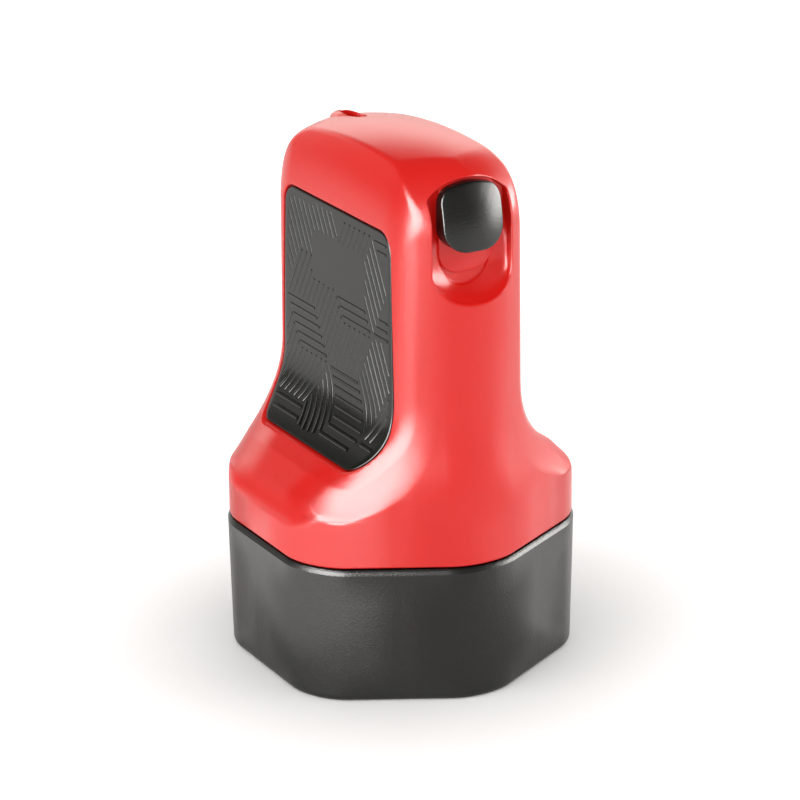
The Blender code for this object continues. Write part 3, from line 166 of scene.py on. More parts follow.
def makeFloor():
    # the floor shows near white to the camera and in gloss, and keeps the stamp's shadow; its glow is painted
    # lower near the stamp, a painted shade that deepens the shadow round its foot, and painted brighter in
    # gloss on the side light's side, a painted reflection of that light
    half = studio["floorSize"] / 2
    mesh = bpy.data.meshes.new("floor")
    mesh.from_pydata([(-half, -half, 0.0), (half, -half, 0.0), (half, half, 0.0), (-half, half, 0.0)],
                     [], [(0, 1, 2, 3)])
    floor = bpy.data.objects.new("floor", mesh)
    bpy.context.scene.collection.objects.link(floor)
    material, tree, shader = newMaterial(
        "paleFloor", Base_Color=(*studio["floorColour"], 1.0), Roughness=studio["floorRoughness"],
        Specular_IOR_Level=studio["floorSpecular"], Emission_Color=(1.0, 1.0, 1.0, 1.0))
    seen = addNode(tree, "ShaderNodeLightPath")
    place = addNode(tree, "ShaderNodeTexCoord")
    reach = addNode(tree, "ShaderNodeVectorMath", operation="LENGTH")
    # painted shade: the floor glows less near the stamp, for the camera and in gloss
    shownWithPaintedShade = fadeNode(tree, *studio["paintedShadeFade"], *studio["floorShown"])
    gloss = fadeNode(tree, *studio["glossPaintedShadeFade"], *studio["floorGloss"])
    across = addNode(tree, "ShaderNodeSeparateXYZ")
    # painted light: the floor glows brighter in gloss on the side light's half
    side = fadeNode(tree, *studio["floorSideFrom"], 0.0, studio["floorSidePaintedLight"])
    paintedGlossGlow = addNode(tree, "ShaderNodeMath", operation="MAXIMUM")
    mirrored = addNode(tree, "ShaderNodeMath", operation="ADD")
    forCamera = addNode(tree, "ShaderNodeMath", operation="MULTIPLY")
    forGloss = addNode(tree, "ShaderNodeMath", operation="MULTIPLY")
    both = addNode(tree, "ShaderNodeMath", operation="ADD")
    join(tree, (place, "Object", reach, 0), (reach, "Value", shownWithPaintedShade, "Value"), (reach, "Value", gloss, "Value"),
         (place, "Object", across, "Vector"), (across, "Y", side, "Value"), (side, "Result", paintedGlossGlow, 0),
         (gloss, "Result", paintedGlossGlow, 1), (seen, "Is Glossy Ray", mirrored, 0),
         (seen, "Is Transmission Ray", mirrored, 1), (seen, "Is Camera Ray", forCamera, 0),
         (shownWithPaintedShade, "Result", forCamera, 1), (mirrored, "Value", forGloss, 0), (paintedGlossGlow, "Value", forGloss, 1),
         (forCamera, "Value", both, 0), (forGloss, "Value", both, 1),
         (both, "Value", shader, "Emission Strength"))
    mesh.materials.append(material)


# ---- outer form of the housing: how deep a point lies inside each face ----
hull = {
    "flatHalf": 0.027, "cornerX": 0.01614, "apexX": 0.03056, "cornerBlend": 0.0063, "apexBlend": 0.00576,
    "lean": 0.00184, "leanLow": 0.030, "leanHigh": 0.052,
    "padFace": 0.01222, "padLean": 0.016, "scoopTop": 0.05141, "scoopDrop": 0.0145,
    "scoopReach": 0.009273, "scoopPower": 2.45, "shelfSlope": 1.06, "shelfBlend": 0.0026,
    "bandAngle": math.radians(40), "bandDistance": 0.02382, "flareTop": 0.052, "flareHeight": 0.020,
    "flare": 0.00357, "flarePower": 1.64, "footFlare": 0.00122, "footPower": 6.0, "creaseBlend": 0.0005,
    "crownZ": 0.09079, "archRadius": 0.1123, "archX": 0.00456, "crownRise": 0.00092,
    "crownCreaseY": 0.00865, "crownBandAngle": math.radians(30), "crownBandBlend": 0.004,
    "crownEndBlend": 0.00902,
    "crownedBlend": 2.0, "crownedLow": 0.031, "crownedHigh": 0.043,
    "shoulderBlend": 0.0085, "shoulderLow": 0.038, "shoulderHigh": 0.047, "shoulderPull": 0.7,
    # how alike two slopes are where the crowned sides and the shoulder start, and over what span
    "sidesAlike": (0.96, 0.04), "shoulderAlike": (0.93, 0.07), "searchSteps": 200,
    "spineHalf": 0.012, "baseZ": 0.024, "neckTop": 0.076, "reach": 0.062, "creaseTurn": math.radians(38),
}


def softMin(first, second, blend):
    both = (first < blend) & (second < blend)
    corner = np.hypot(np.maximum(blend - first, 0.0), np.maximum(blend - second, 0.0))
    return np.where(both, blend - corner, np.minimum(first, second))


def slantDepth(x, y, z, widen=1.0):
    h = hull
    length = math.hypot(h["apexX"] - h["cornerX"], h["flatHalf"])
    normalX, normalY = h["flatHalf"] / length, (h["apexX"] - h["cornerX"]) / length
    share = np.clip((z - h["leanLow"]) / (h["leanHigh"] - h["leanLow"]), 0.0, 1.0)
    reach = normalX * h["apexX"] - h["lean"] * share * share * (3.0 - 2.0 * share)
    return softMin(reach - normalX * np.abs(x) - normalY * y,
                   reach - normalX * np.abs(x) + normalY * y, h["apexBlend"] * widen)


def crownArch(x):
    return hull["crownZ"] - (x - hull["archX"]) ** 2 / (2.0 * hull["archRadius"])


def bandDepth(x, y, z):
    h = hull
    flare = np.maximum(h["flareTop"] - z, 0.0) / h["flareHeight"]
    distance = (h["bandDistance"] + h["flare"] * flare ** h["flarePower"]
                + h["footFlare"] * flare ** h["footPower"])
    side = distance - math.cos(h["bandAngle"]) * np.abs(x) - math.sin(h["bandAngle"]) * np.abs(y)
    crown = (math.cos(h["crownBandAngle"]) * (h["crownCreaseY"] - np.abs(y))
             + math.sin(h["crownBandAngle"]) * (crownArch(x) - z))
    return softMin(side, crown, h["crownBandBlend"])


def waistDepth(y, z):
    h = hull
    fall = np.maximum(h["scoopTop"] - z, 0.0) / h["scoopDrop"]
    scoop = h["scoopReach"] * np.minimum(fall, 1.0) ** h["scoopPower"]
    shelf = h["shelfSlope"] * h["scoopDrop"] * np.maximum(fall - 1.0, 0.0)
    return h["padFace"] + scoop + shelf - h["padLean"] * np.maximum(z - h["scoopTop"], 0.0) - np.abs(y)


def planDepth(x, y, z, widen=1.0):
    h = hull
    body = softMin(slantDepth(x, y, z, widen), h["flatHalf"] - np.abs(y), h["cornerBlend"] * widen)
    crown = crownArch(x) + h["crownRise"] * (1.0 - (y / h["crownCreaseY"]) ** 2) - z
    return softMin(body, crown, h["crownEndBlend"])


def smoothStep(value, low, high):
    share = np.clip((value - low) / (high - low), 0.0, 1.0)
    return share * share * (3.0 - 2.0 * share)


def hullDepth(points):
    x, y, z = points.T
    outer = softMin(planDepth(x, y, z), bandDepth(x, y, z), hull["creaseBlend"])
    return softMin(outer, waistDepth(y, z), hull["shelfBlend"])


def shoulderDepth(points, blend):
    x, y, z = points.T
    return softMin(bandDepth(x, y, z), waistDepth(y, z), blend)


def unitRows(vectors):
    return vectors / np.maximum(np.linalg.norm(vectors, axis=1), 1e-12)[:, None]


def fieldNormals(field, points, step=0.00002):
    slope = [field(points + step * axis) - field(points - step * axis) for axis in np.eye(3)]
    return unitRows(-np.stack(slope, axis=1))


def alike(first, second, span):
    return np.clip(((first * second).sum(axis=1) - span[0]) / span[1], 0.0, 1.0)


def hullNormals(points):
    # low down the moulded sides are faintly crowned, and the shoulder rolls slowly into the shelf
    h = hull
    z = points[:, 2]
    normals = fieldNormals(hullDepth, points)
    plain = fieldNormals(lambda places: planDepth(*places.T), points)
    crowned = fieldNormals(lambda places: planDepth(*places.T, h["crownedBlend"]), points)
    tight = fieldNormals(lambda places: shoulderDepth(places, h["shelfBlend"]), points)
    band = fieldNormals(lambda places: bandDepth(*places.T), points)
    onSides = alike(normals, plain, h["sidesAlike"])
    onSides *= 1.0 - smoothStep(z, h["crownedLow"], h["crownedHigh"])
    onShoulder = alike(normals, tight, h["shoulderAlike"])
    onShoulder *= 1.0 - smoothStep(z, h["shoulderLow"], h["shoulderHigh"])
    onShoulder *= h["shoulderPull"] * (1.0 - smoothStep(bandDepth(*points.T), 0.0, h["shoulderBlend"]))
    return unitRows(normals + onSides[:, None] * (crowned - plain) + onShoulder[:, None] * band)


def castToHull(starts, directions, inset=0.0, rounds=34):
    # halves each ray until it meets the surface that lies the inset inside the hull
    near, far = np.zeros(len(starts)), np.full(len(starts), hull["reach"])
    for _ in range(rounds):
        middle = (near + far) / 2.0
        inside = hullDepth(starts + directions * middle[:, None]) > inset
        near, far = np.where(inside, middle, near), np.where(inside, far, middle)
    return starts + directions * near[:, None]


def castAlong(starts, direction, inset):
    return castToHull(starts, np.tile(direction, (len(starts), 1)), inset)


def rayPoints(side, headings, tilts, level, inset):
    across = side * np.cos(headings)
    starts = np.stack([hull["spineHalf"] * across, 0.0 * headings, 0.0 * headings + level], axis=1)
    directions = np.stack([across * np.cos(tilts), np.sin(headings) * np.cos(tilts), np.sin(tilts)], axis=1)
    return castToHull(starts, directions, inset)


def firstCrossing(places, values):
    above = np.nonzero(values > 0.0)[0]
    if len(above) == 0 or above[0] == 0:
        return None
    index = above[0]
    share = -values[index - 1] / (values[index] - values[index - 1])
    return places[index - 1] + share * (places[index] - places[index - 1])


def creaseHeading(side, level, tilt, inset):
    headings = np.linspace(0.0, math.pi / 2, hull["searchSteps"])
    points = rayPoints(side, headings, 0.0 * headings + tilt, level, inset)
    x, y, z = points.T
    crease = firstCrossing(headings, planDepth(x, y, z) - bandDepth(x, y, z))
    corner = firstCrossing(headings, slantDepth(x, y, z) - (hull["flatHalf"] - np.abs(y)))
    known = [value for value in (crease, corner) if value is not None]
    return min(known) if known else hull["creaseTurn"]


def creaseTilt(side, heading, inset):
    tilts = np.linspace(math.pi / 2, 0.0, hull["searchSteps"])
    points = rayPoints(side, 0.0 * tilts + heading, tilts, hull["neckTop"], inset)
    x, y, z = points.T
    return firstCrossing(tilts, planDepth(x, y, z) - bandDepth(x, y, z))


def spreadHeadings(knot, grid):
    return np.concatenate([grid["slants"] * knot, knot + grid["bands"][1:] * (math.pi / 2 - knot)])


def wholeRing(front, back):
    half = np.concatenate([front, back[-2::-1]])
    return np.concatenate([half, half[-2:0:-1] * np.array([1.0, -1.0, 1.0])])


def wallRing(level, inset, grid):
    sides = []
    for side in (1.0, -1.0):
        headings = spreadHeadings(creaseHeading(side, level, 0.0, inset), grid)
        sides.append(rayPoints(side, headings, 0.0 * headings, level, inset))
    return wholeRing(*sides)


def domeRings(inset, grid):
    # rise runs from 0 at the neck's top over 1 at the crease to 2 at the ridge
    creases = {}
    for side in (1.0, -1.0):
        headings = spreadHeadings(hull["creaseTurn"], grid)
        start = len(grid["slants"]) - 1
        tilts = np.array([creaseTilt(side, heading, inset) for heading in headings[start:]])
        creases[side] = np.concatenate([np.full(start, tilts[0]), tilts])
    rings = []
    for rise in grid["rises"]:
        sides = []
        for side in (1.0, -1.0):
            tilts = creases[side]
            if rise > 1.0:
                headings = spreadHeadings(hull["creaseTurn"], grid)
                tilts = tilts + (rise - 1.0) * (math.pi / 2 - tilts)
            else:
                headings = spreadHeadings(creaseHeading(side, hull["neckTop"], rise * tilts[0], inset), grid)
                tilts = rise * tilts
            sides.append(rayPoints(side, headings, tilts, hull["neckTop"], inset))
        rings.append(wholeRing(*sides))
    return rings


# ---- mesh helpers ----
def filletSteps(radius, turns):
    # a quarter round as (along, inset) pairs
    return [(radius * (1.0 - math.cos(turn)), radius * (1.0 - math.sin(turn))) for turn in np.radians(turns)]


def makeMesh(name, points, faces, weld=1e-7):
    form = bmesh.new()
    corners = [form.verts.new(point) for point in points]
    for face in faces:
        form.faces.new([corners[index] for index in face])
    bmesh.ops.remove_doubles(form, verts=form.verts, dist=weld)
    bmesh.ops.recalc_face_normals(form, faces=form.faces)
    mesh = bpy.data.meshes.new(name)
    form.to_mesh(mesh)
    form.free()
    return mesh


def ringFaces(ringCount, count, looped=False):
    faces = []
    pairs = [(low, low + 1) for low in range(ringCount - 1)] + ([(ringCount - 1, 0)] if looped else [])
    for low, high in pairs:
        for index in range(count):
            following = (index + 1) % count
            faces.append((low * count + index, low * count + following,
                          high * count + following, high * count + index))
    return faces


def stackRings(name, rings, closeLow=True, closeHigh=True, looped=False):
    count = len(rings[0])
    points = [tuple(point) for ring in rings for point in ring]
    faces = ringFaces(len(rings), count, looped)
    if closeLow and not looped:
        faces.append(tuple(range(count)))
    if closeHigh and not looped:
        faces.append(tuple(range((len(rings) - 1) * count, len(rings) * count)))
    return makeMesh(name, points, faces)


def addPiece(name, mesh, material=None):
    piece = bpy.data.objects.new(name, mesh)
    bpy.context.scene.collection.objects.link(piece)
    if material:
        mesh.materials.clear()
        mesh.materials.append(material)
    return piece


def smoothByAngle(mesh, degrees):
    mesh.shade_smooth()
    mesh.set_sharp_from_angle(angle=math.radians(degrees))


def bakeModifiers(piece):
    # turns the evaluated piece into a plain mesh and drops its modifiers
    graph = bpy.context.evaluated_depsgraph_get()
    mesh = bpy.data.meshes.new_from_object(piece.evaluated_get(graph))
    mesh.name = piece.name
    piece.modifiers.clear()
    piece.data = mesh
    return piece


def carve(piece, tools, operation="DIFFERENCE"):
    for tool in tools:
        modifier = piece.modifiers.new(tool.name, "BOOLEAN")
        modifier.operation, modifier.object, modifier.solver = operation, tool, "EXACT"
    bakeModifiers(piece)
    for tool in tools:
        bpy.data.objects.remove(tool, do_unlink=True)
    return piece


def readRows(items, attribute, width, kind=float):
    values = np.zeros(len(items) * width, kind)
    items.foreach_get(attribute, values)
    return values.reshape(-1, width) if width > 1 else values


def followHullNormals(mesh, tolerance=0.000004, bend=28.0, ownBend=32.0):
    # shades the hull from its own slope, so that carved edges leave no dents in the gloss
    smoothByAngle(mesh, ownBend)
    points = readRows(mesh.vertices, "co", 3)
    onHull = np.abs(hullDepth(points)) < tolerance
    slope = hullNormals(points)
    corners = readRows(mesh.corner_normals, "vector", 3, np.float32)
    loopPoint = readRows(mesh.loops, "vertex_index", 1, np.int64)
    starts = readRows(mesh.polygons, "loop_start", 1, np.int64)
    faceOf = np.repeat(np.arange(len(starts)), readRows(mesh.polygons, "loop_total", 1, np.int64))
    faceNormals = readRows(mesh.polygons, "normal", 3)
    allOn = np.logical_and.reduceat(onHull[loopPoint], starts)
    near = (faceNormals[faceOf] * slope[loopPoint]).sum(axis=1) > math.cos(math.radians(bend))
    use = onHull[loopPoint] & (allOn[faceOf] | near)
    corners[use] = slope[loopPoint][use]
    mesh.normals_split_custom_set([tuple(normal) for normal in corners])


def arcPoints(centreA, centreB, radiusA, radiusB, start, end, steps):
    turns = [math.radians(start + (end - start) * step / steps) for step in range(steps + 1)]
    return [(centreA + radiusA * math.cos(turn), centreB + radiusB * math.sin(turn)) for turn in turns]


def evenSteps(*parts):
    # (start, end, count) parts joined to one run of places
    places = []
    for start, end, count in parts:
        places += [start + (end - start) * step / count for step in range(count)]
    return np.array(places + [parts[-1][1]])


# ---- shared shader groups: moulded grain, light soiling, cast foam ----
def newGroup(name, inputs, outputs, kind="ShaderNodeTree"):
    group = bpy.data.node_groups.new(name, kind)
    for label, sort, value in inputs:
        socket = group.interface.new_socket(label, in_out="INPUT", socket_type=sort)
        if value is not None:
            socket.default_value = value
    for label, sort in outputs:
        group.interface.new_socket(label, in_out="OUTPUT", socket_type=sort)
    return group, group.nodes.new("NodeGroupInput"), group.nodes.new("NodeGroupOutput")


def setValues(node, values):
    # names with a capital set input sockets, others set the node's own settings
    for name, value in values.items():
        if name[0].isupper():
            node.inputs[name.replace("_", " ")].default_value = value
        else:
            setattr(node, name, value)
    return node


def addNode(tree, kind, **values):
    return setValues(tree.nodes.new(kind), values)


def fadeNode(tree, start, end, low, high):
    return addNode(tree, "ShaderNodeMapRange", interpolation_type="SMOOTHSTEP", From_Min=start, From_Max=end,
                   To_Min=low, To_Max=high)


def join(tree, *pairs):
    # each pair is a node, its output, the next node and its input
    for source, output, target, entry in pairs:
        tree.links.new(source.outputs[output], target.inputs[entry])


def newMaterial(name, **values):
    material = bpy.data.materials.new(name)
    material.use_nodes = True
    return material, material.node_tree, setValues(material.node_tree.nodes["Principled BSDF"], values)


def surfaceGroups(tree, low, high, **grainValues):
    grain = addNode(tree, "ShaderNodeGroup", node_tree=grainGroup, **grainValues)
    marks = addNode(tree, "ShaderNodeGroup", node_tree=marksGroup, Low=low, High=high)
    return grain, marks


def mouldGrainGroup():
    # spark-eroded tool grain: fine pits over a faint slow waviness
    group, start, end = newGroup("mouldGrain", [
        ("Grain Scale", "NodeSocketFloat", 4200.0), ("Grain Depth", "NodeSocketFloat", 0.00001),
        ("Wave Scale", "NodeSocketFloat", 90.0), ("Wave Depth", "NodeSocketFloat", 0.00001),
    ], [("Normal", "NodeSocketVector"), ("Grain", "NodeSocketFloat")])
    place = addNode(group, "ShaderNodeTexCoord")
    grain = addNode(group, "ShaderNodeTexNoise", Detail=2.0, Roughness=0.55)
    wave = addNode(group, "ShaderNodeTexNoise", Detail=1.0, Roughness=0.4)
    soft = addNode(group, "ShaderNodeBump", Strength=1.0)
    fine = addNode(group, "ShaderNodeBump", Strength=1.0)
    join(group, (place, "Object", grain, "Vector"), (place, "Object", wave, "Vector"),
         (start, "Grain Scale", grain, "Scale"), (start, "Wave Scale", wave, "Scale"),
         (start, "Wave Depth", soft, "Distance"), (start, "Grain Depth", fine, "Distance"),
         (wave, "Fac", soft, "Height"), (grain, "Fac", fine, "Height"), (soft, "Normal", fine, "Normal"),
         (fine, "Normal", end, "Normal"), (grain, "Fac", end, "Grain"))
    return group


def handlingGroup():
    # where hands and cloths have polished or dulled the surface, in broad faint patches and fine rubs
    group, start, end = newGroup("handlingMarks", [
        ("Patch Scale", "NodeSocketFloat", 45.0), ("Rub Scale", "NodeSocketFloat", 1600.0),
        ("Low", "NodeSocketFloat", 0.36), ("High", "NodeSocketFloat", 0.46),
    ], [("Roughness", "NodeSocketFloat"), ("Patch", "NodeSocketFloat")])
    place = addNode(group, "ShaderNodeTexCoord")
    patch = addNode(group, "ShaderNodeTexNoise", Detail=3.0, Roughness=0.6)
    stretch = addNode(group, "ShaderNodeMapping", Scale=(1.0, 1.0, 0.45))
    rub = addNode(group, "ShaderNodeTexNoise", Detail=2.0, Roughness=0.7)
    both = addNode(group, "ShaderNodeMath", operation="MULTIPLY")
    mix = addNode(group, "ShaderNodeMapRange", From_Min=0.12, From_Max=0.42)
    join(group, (place, "Object", patch, "Vector"), (place, "Object", stretch, "Vector"),
         (stretch, "Vector", rub, "Vector"), (start, "Patch Scale", patch, "Scale"),
         (start, "Rub Scale", rub, "Scale"), (patch, "Fac", both, 0), (rub, "Fac", both, 1),
         (both, "Value", mix, "Value"), (start, "Low", mix, "To Min"), (start, "High", mix, "To Max"),
         (mix, "Result", end, "Roughness"), (patch, "Fac", end, "Patch"))
    return group


grainGroup = mouldGrainGroup()
marksGroup = handlingGroup()
print("scene: shader groups ready")


finishes = {
    "redShell": {"colour": (0.79, 0.015, 0.011), "deep": (0.75, 0.012, 0.009),
                 "low": 0.225, "high": 0.266, "specular": 0.5,
                 "grainScale": 4300.0, "grainDepth": 0.000022, "waveDepth": 0.000004},
    "blackPlastic": {"colour": (0.008, 0.008, 0.0066), "deep": (0.005, 0.005, 0.0041),
                     "low": 0.29, "high": 0.34, "specular": 0.44,
                     "grainScale": 2900.0, "grainDepth": 0.000042, "waveDepth": 0.000004},
    "buttonBlack": {"colour": (0.008, 0.008, 0.0068), "deep": (0.005, 0.005, 0.0043),
                    "low": 0.225, "high": 0.265, "specular": 0.5,
                    "grainScale": 3200.0, "grainDepth": 0.000030, "waveDepth": 0.000002},
    "padRubber": {"colour": (0.007, 0.007, 0.0055), "deep": (0.0045, 0.0045, 0.0036),
                  "low": 0.20, "high": 0.255, "specular": 0.44,
                  "grainScale": 5200.0, "grainDepth": 0.000008, "waveDepth": 0.000004},
    "framePlastic": {"colour": (0.22, 0.22, 0.23), "deep": (0.19, 0.19, 0.20),
                     "low": 0.42, "high": 0.55, "specular": 0.5,
                     "grainScale": 3800.0, "grainDepth": 0.00001, "waveDepth": 0.000004},
    "palePlastic": {"colour": (0.62, 0.62, 0.59), "deep": (0.56, 0.56, 0.53),
                    "low": 0.34, "high": 0.46, "specular": 0.5,
                    "grainScale": 3800.0, "grainDepth": 0.000006, "waveDepth": 0.000006},
    "printRubber": {"colour": (0.055, 0.020, 0.022), "deep": (0.035, 0.012, 0.014),
                    "low": 0.50, "high": 0.66, "specular": 0.4,
                    "grainScale": 2600.0, "grainDepth": 0.00002, "waveDepth": 0.00001},
    "ceramic": {"colour": (0.84, 0.83, 0.79), "deep": (0.80, 0.79, 0.75),
                "low": 0.285, "high": 0.33, "specular": 0.6,
                "grainScale": 5200.0, "grainDepth": 0.000003, "waveDepth": 0.000002},
}


def plasticMaterial(name):
    finish = finishes[name]
    material, tree, shader = newMaterial(name, Specular_IOR_Level=finish["specular"])
    grain, marks = surfaceGroups(tree, finish["low"], finish["high"], Grain_Scale=finish["grainScale"],
                                 Grain_Depth=finish["grainDepth"], Wave_Depth=finish["waveDepth"])
    colour = addNode(tree, "ShaderNodeMix", data_type="RGBA", A=(*finish["deep"], 1.0),
                     B=(*finish["colour"], 1.0))
    blend = addNode(tree, "ShaderNodeMath", operation="MULTIPLY_ADD")
    half = addNode(tree, "ShaderNodeMath", operation="MULTIPLY")
    # equal shares of grain and soiling decide how deep the tint is
    blend.inputs[1].default_value = half.inputs[1].default_value = 0.5
    join(tree, (marks, "Patch", blend, 0), (grain, "Grain", half, 0), (half, "Value", blend, 2),
         (blend, "Value", colour, "Factor"), (colour, "Result", shader, "Base Color"),
         (marks, "Roughness", shader, "Roughness"), (grain, "Normal", shader, "Normal"))
    return material


steel = {"colour": (0.62, 0.62, 0.63), "low": 0.285, "high": 0.38, "grainDepth": 0.000003}


def steelMaterial():
    material, tree, shader = newMaterial("drawnSteel", Metallic=1.0, Base_Color=(*steel["colour"], 1.0))
    grain, marks = surfaceGroups(tree, steel["low"], steel["high"], Grain_Depth=steel["grainDepth"])
    join(tree, (marks, "Roughness", shader, "Roughness"), (grain, "Normal", shader, "Normal"))
    return material


foam = {"deep": (0.006, 0.006, 0.009), "colour": (0.035, 0.035, 0.045), "roughness": 0.55,
        "cellScale": 1500.0, "cellDepth": 0.00012, "cellStrength": 0.9}


def foamMaterial():
    # open-cell foam, wet with ink
    material, tree, shader = newMaterial("inkFoam", Roughness=foam["roughness"])
    place = addNode(tree, "ShaderNodeTexCoord")
    cells = addNode(tree, "ShaderNodeTexVoronoi", Scale=foam["cellScale"])
    bump = addNode(tree, "ShaderNodeBump", Distance=foam["cellDepth"], Strength=foam["cellStrength"])
    tint = addNode(tree, "ShaderNodeMix", data_type="RGBA", A=(*foam["deep"], 1.0), B=(*foam["colour"], 1.0))
    join(tree, (place, "Object", cells, "Vector"), (cells, "Distance", bump, "Height"),
         (cells, "Distance", tint, "Factor"), (tint, "Result", shader, "Base Color"),
         (bump, "Normal", shader, "Normal"))
    return material


materials = {name: plasticMaterial(name) for name in finishes}
materials["steel"] = steelMaterial()
materials["foam"] = foamMaterial()
print("scene: materials ready")


# ---- red housing shell ----
shell = {
    "wall": 0.0024, "footFillet": 0.0004,
    "fine": {"slants": evenSteps((0.0, 0.9, 30), (0.9, 0.985, 5), (0.985, 1.0, 2)),
             "bands": evenSteps((0.0, 0.012, 2), (0.012, 0.24, 16), (0.24, 1.0, 28)),
             "rises": evenSteps((0.06, 0.94, 15), (0.94, 1.06, 6), (1.06, 1.97, 22), (1.97, 2.0, 1))},
    "plain": {"slants": np.array([0.0, 0.13, 0.27, 0.55, 0.82, 0.91, 1.0]),
              "bands": np.array([0.0, 0.12, 0.25, 0.48, 0.75, 1.0]),
              "rises": np.array([0.5, 1.0, 1.3, 1.65, 2.0])},
    "levels": evenSteps((0.0252, 0.0290, 8), (0.0290, 0.0380, 32), (0.0380, 0.0530, 34), (0.0530, 0.076, 34)),
    "plainLevels": (0.023, 0.0296, 0.0307, 0.0319, 0.0330, 0.0350, 0.0369, 0.0398, 0.0427, 0.0456, 0.0485,
                    0.0514, 0.0596, 0.0678, 0.076),
    "lip": {"x": -0.0150, "halves": (0.0068, 0.0027, 0.0020), "rise": 0.00032},
    "slot": {"x": -0.0166, "halfX": 0.0037, "halfY": 0.0008, "mouthX": -0.0150, "mouthHalfX": 0.0049,
             "mouthY": 0.00125, "mouthDepth": 0.0007},
    "snap": {"x": 0.0080, "half": 0.0030, "z": 0.0262, "height": 0.0016, "gap": 0.0003, "inward": 0.001,
             "outward": 0.0009},
    # how far a cutting tool runs past the wall that it opens
    "past": 0.001, "footTurns": (30, 60, 90),
}
recess = {
    "half": 0.0073, "floorX": 0.0215, "lowZ": 0.0683, "topZ": 0.0886, "topRadius": 0.0105,
    "topCorner": 0.0010, "rimFoot": (0.0068, 0.0054), "floorFoot": (0.0071, 0.0052), "rampHeight": 0.0021,
    "rampPower": 2.0, "wallFootX": 0.0231, "wallLow": 0.0700, "wallHigh": 0.0745,
    "drawIn": 0.36, "drawLow": 0.0765, "drawHigh": 0.0835, "wall": 0.0018,
    "castFromX": 0.012, "outsideX": 0.0300, "bossX": 0.0285, "over": 0.0002,
    "rampShares": (0.04, 0.09, 0.16, 0.25, 0.35, 0.46, 0.58, 0.7, 0.82, 0.92),
    "wallShares": (0.0, 0.2, 0.45, 0.75, 1.0), "floorTurns": (0, 30, 60, 90), "rimTurns": (68, 46, 28, 14),
    # the wall's lowest ring stands a little inside its foot, so that the ramp meets it without a step
    "footScale": 0.985, "footDrop": 0.03,
    "rimFillet": 0.00045, "floorFillet": 0.0004,
    "tongueHalf": 0.0050, "tongueRise": 0.0008, "tongueLow": 0.0727, "tongueCorner": 0.0038,
    "tongueFillet": 0.00018, "stemHalf": 0.0021, "stemLow": 0.0768, "stemTop": 0.0843,
}


def recessOutline(lowZ, foot, grow, steps=16):
    # foot is the half width and height of the rounded lower end
    r = recess
    half, topZ = r["half"] + grow, r["topZ"] + grow
    footY, footZ = foot[0] + grow, foot[1] + grow
    roundZ, corner = topZ - r["topRadius"], r["topCorner"] + max(grow, 0.0)
    base = lowZ - grow + footZ
    # the top arc leaves the side walls through a small corner
    innerHalf, innerRadius = half - corner, r["topRadius"] - corner
    lean = math.degrees(math.asin(innerHalf / innerRadius))
    cornerZ = roundZ + math.sqrt(innerRadius ** 2 - innerHalf ** 2)
    points = arcPoints(half - footY, base, footY, footZ, -90, 0, steps)
    points += [(half, base + (cornerZ - base) * step / 12) for step in range(1, 12)]
    points += arcPoints(innerHalf, cornerZ, corner, corner, 0, 90 - lean, 4)
    points += arcPoints(0.0, roundZ, r["topRadius"], r["topRadius"], 90 - lean, 90 + lean, 2 * steps)[1:-1]
    points += arcPoints(-innerHalf, cornerZ, corner, corner, 90 + lean, 180, 4)
    points += [(-half, cornerZ + (base - cornerZ) * step / 12) for step in range(1, 12)]
    points += arcPoints(footY - half, base, footY, footZ, 180, 270, steps)
    return np.array(points)


def rimOutline(grow):
    return recessOutline(recess["lowZ"], recess["rimFoot"], grow)


def floorOutline(grow):
    # narrower than the rim low down, so that the lower end is a sloping scoop
    outline = recessOutline(recess["lowZ"] + recess["rampHeight"], recess["floorFoot"], grow)
    drawn = 1.0 - smoothStep(outline[:, 1], recess["drawLow"], recess["drawHigh"])
    outline[:, 0] *= 1.0 - recess["drawIn"] * drawn
    return outline


def onSlantHull(outline, depth):
    return castAlong(flatRing(outline, recess["castFromX"]), (1.0, 0.0, 0.0), depth)


def flatRing(outline, x):
    # x is one place for the whole ring, or one for each of its points
    return np.stack([np.zeros(len(outline)) + x, outline[:, 0], outline[:, 1]], axis=1)


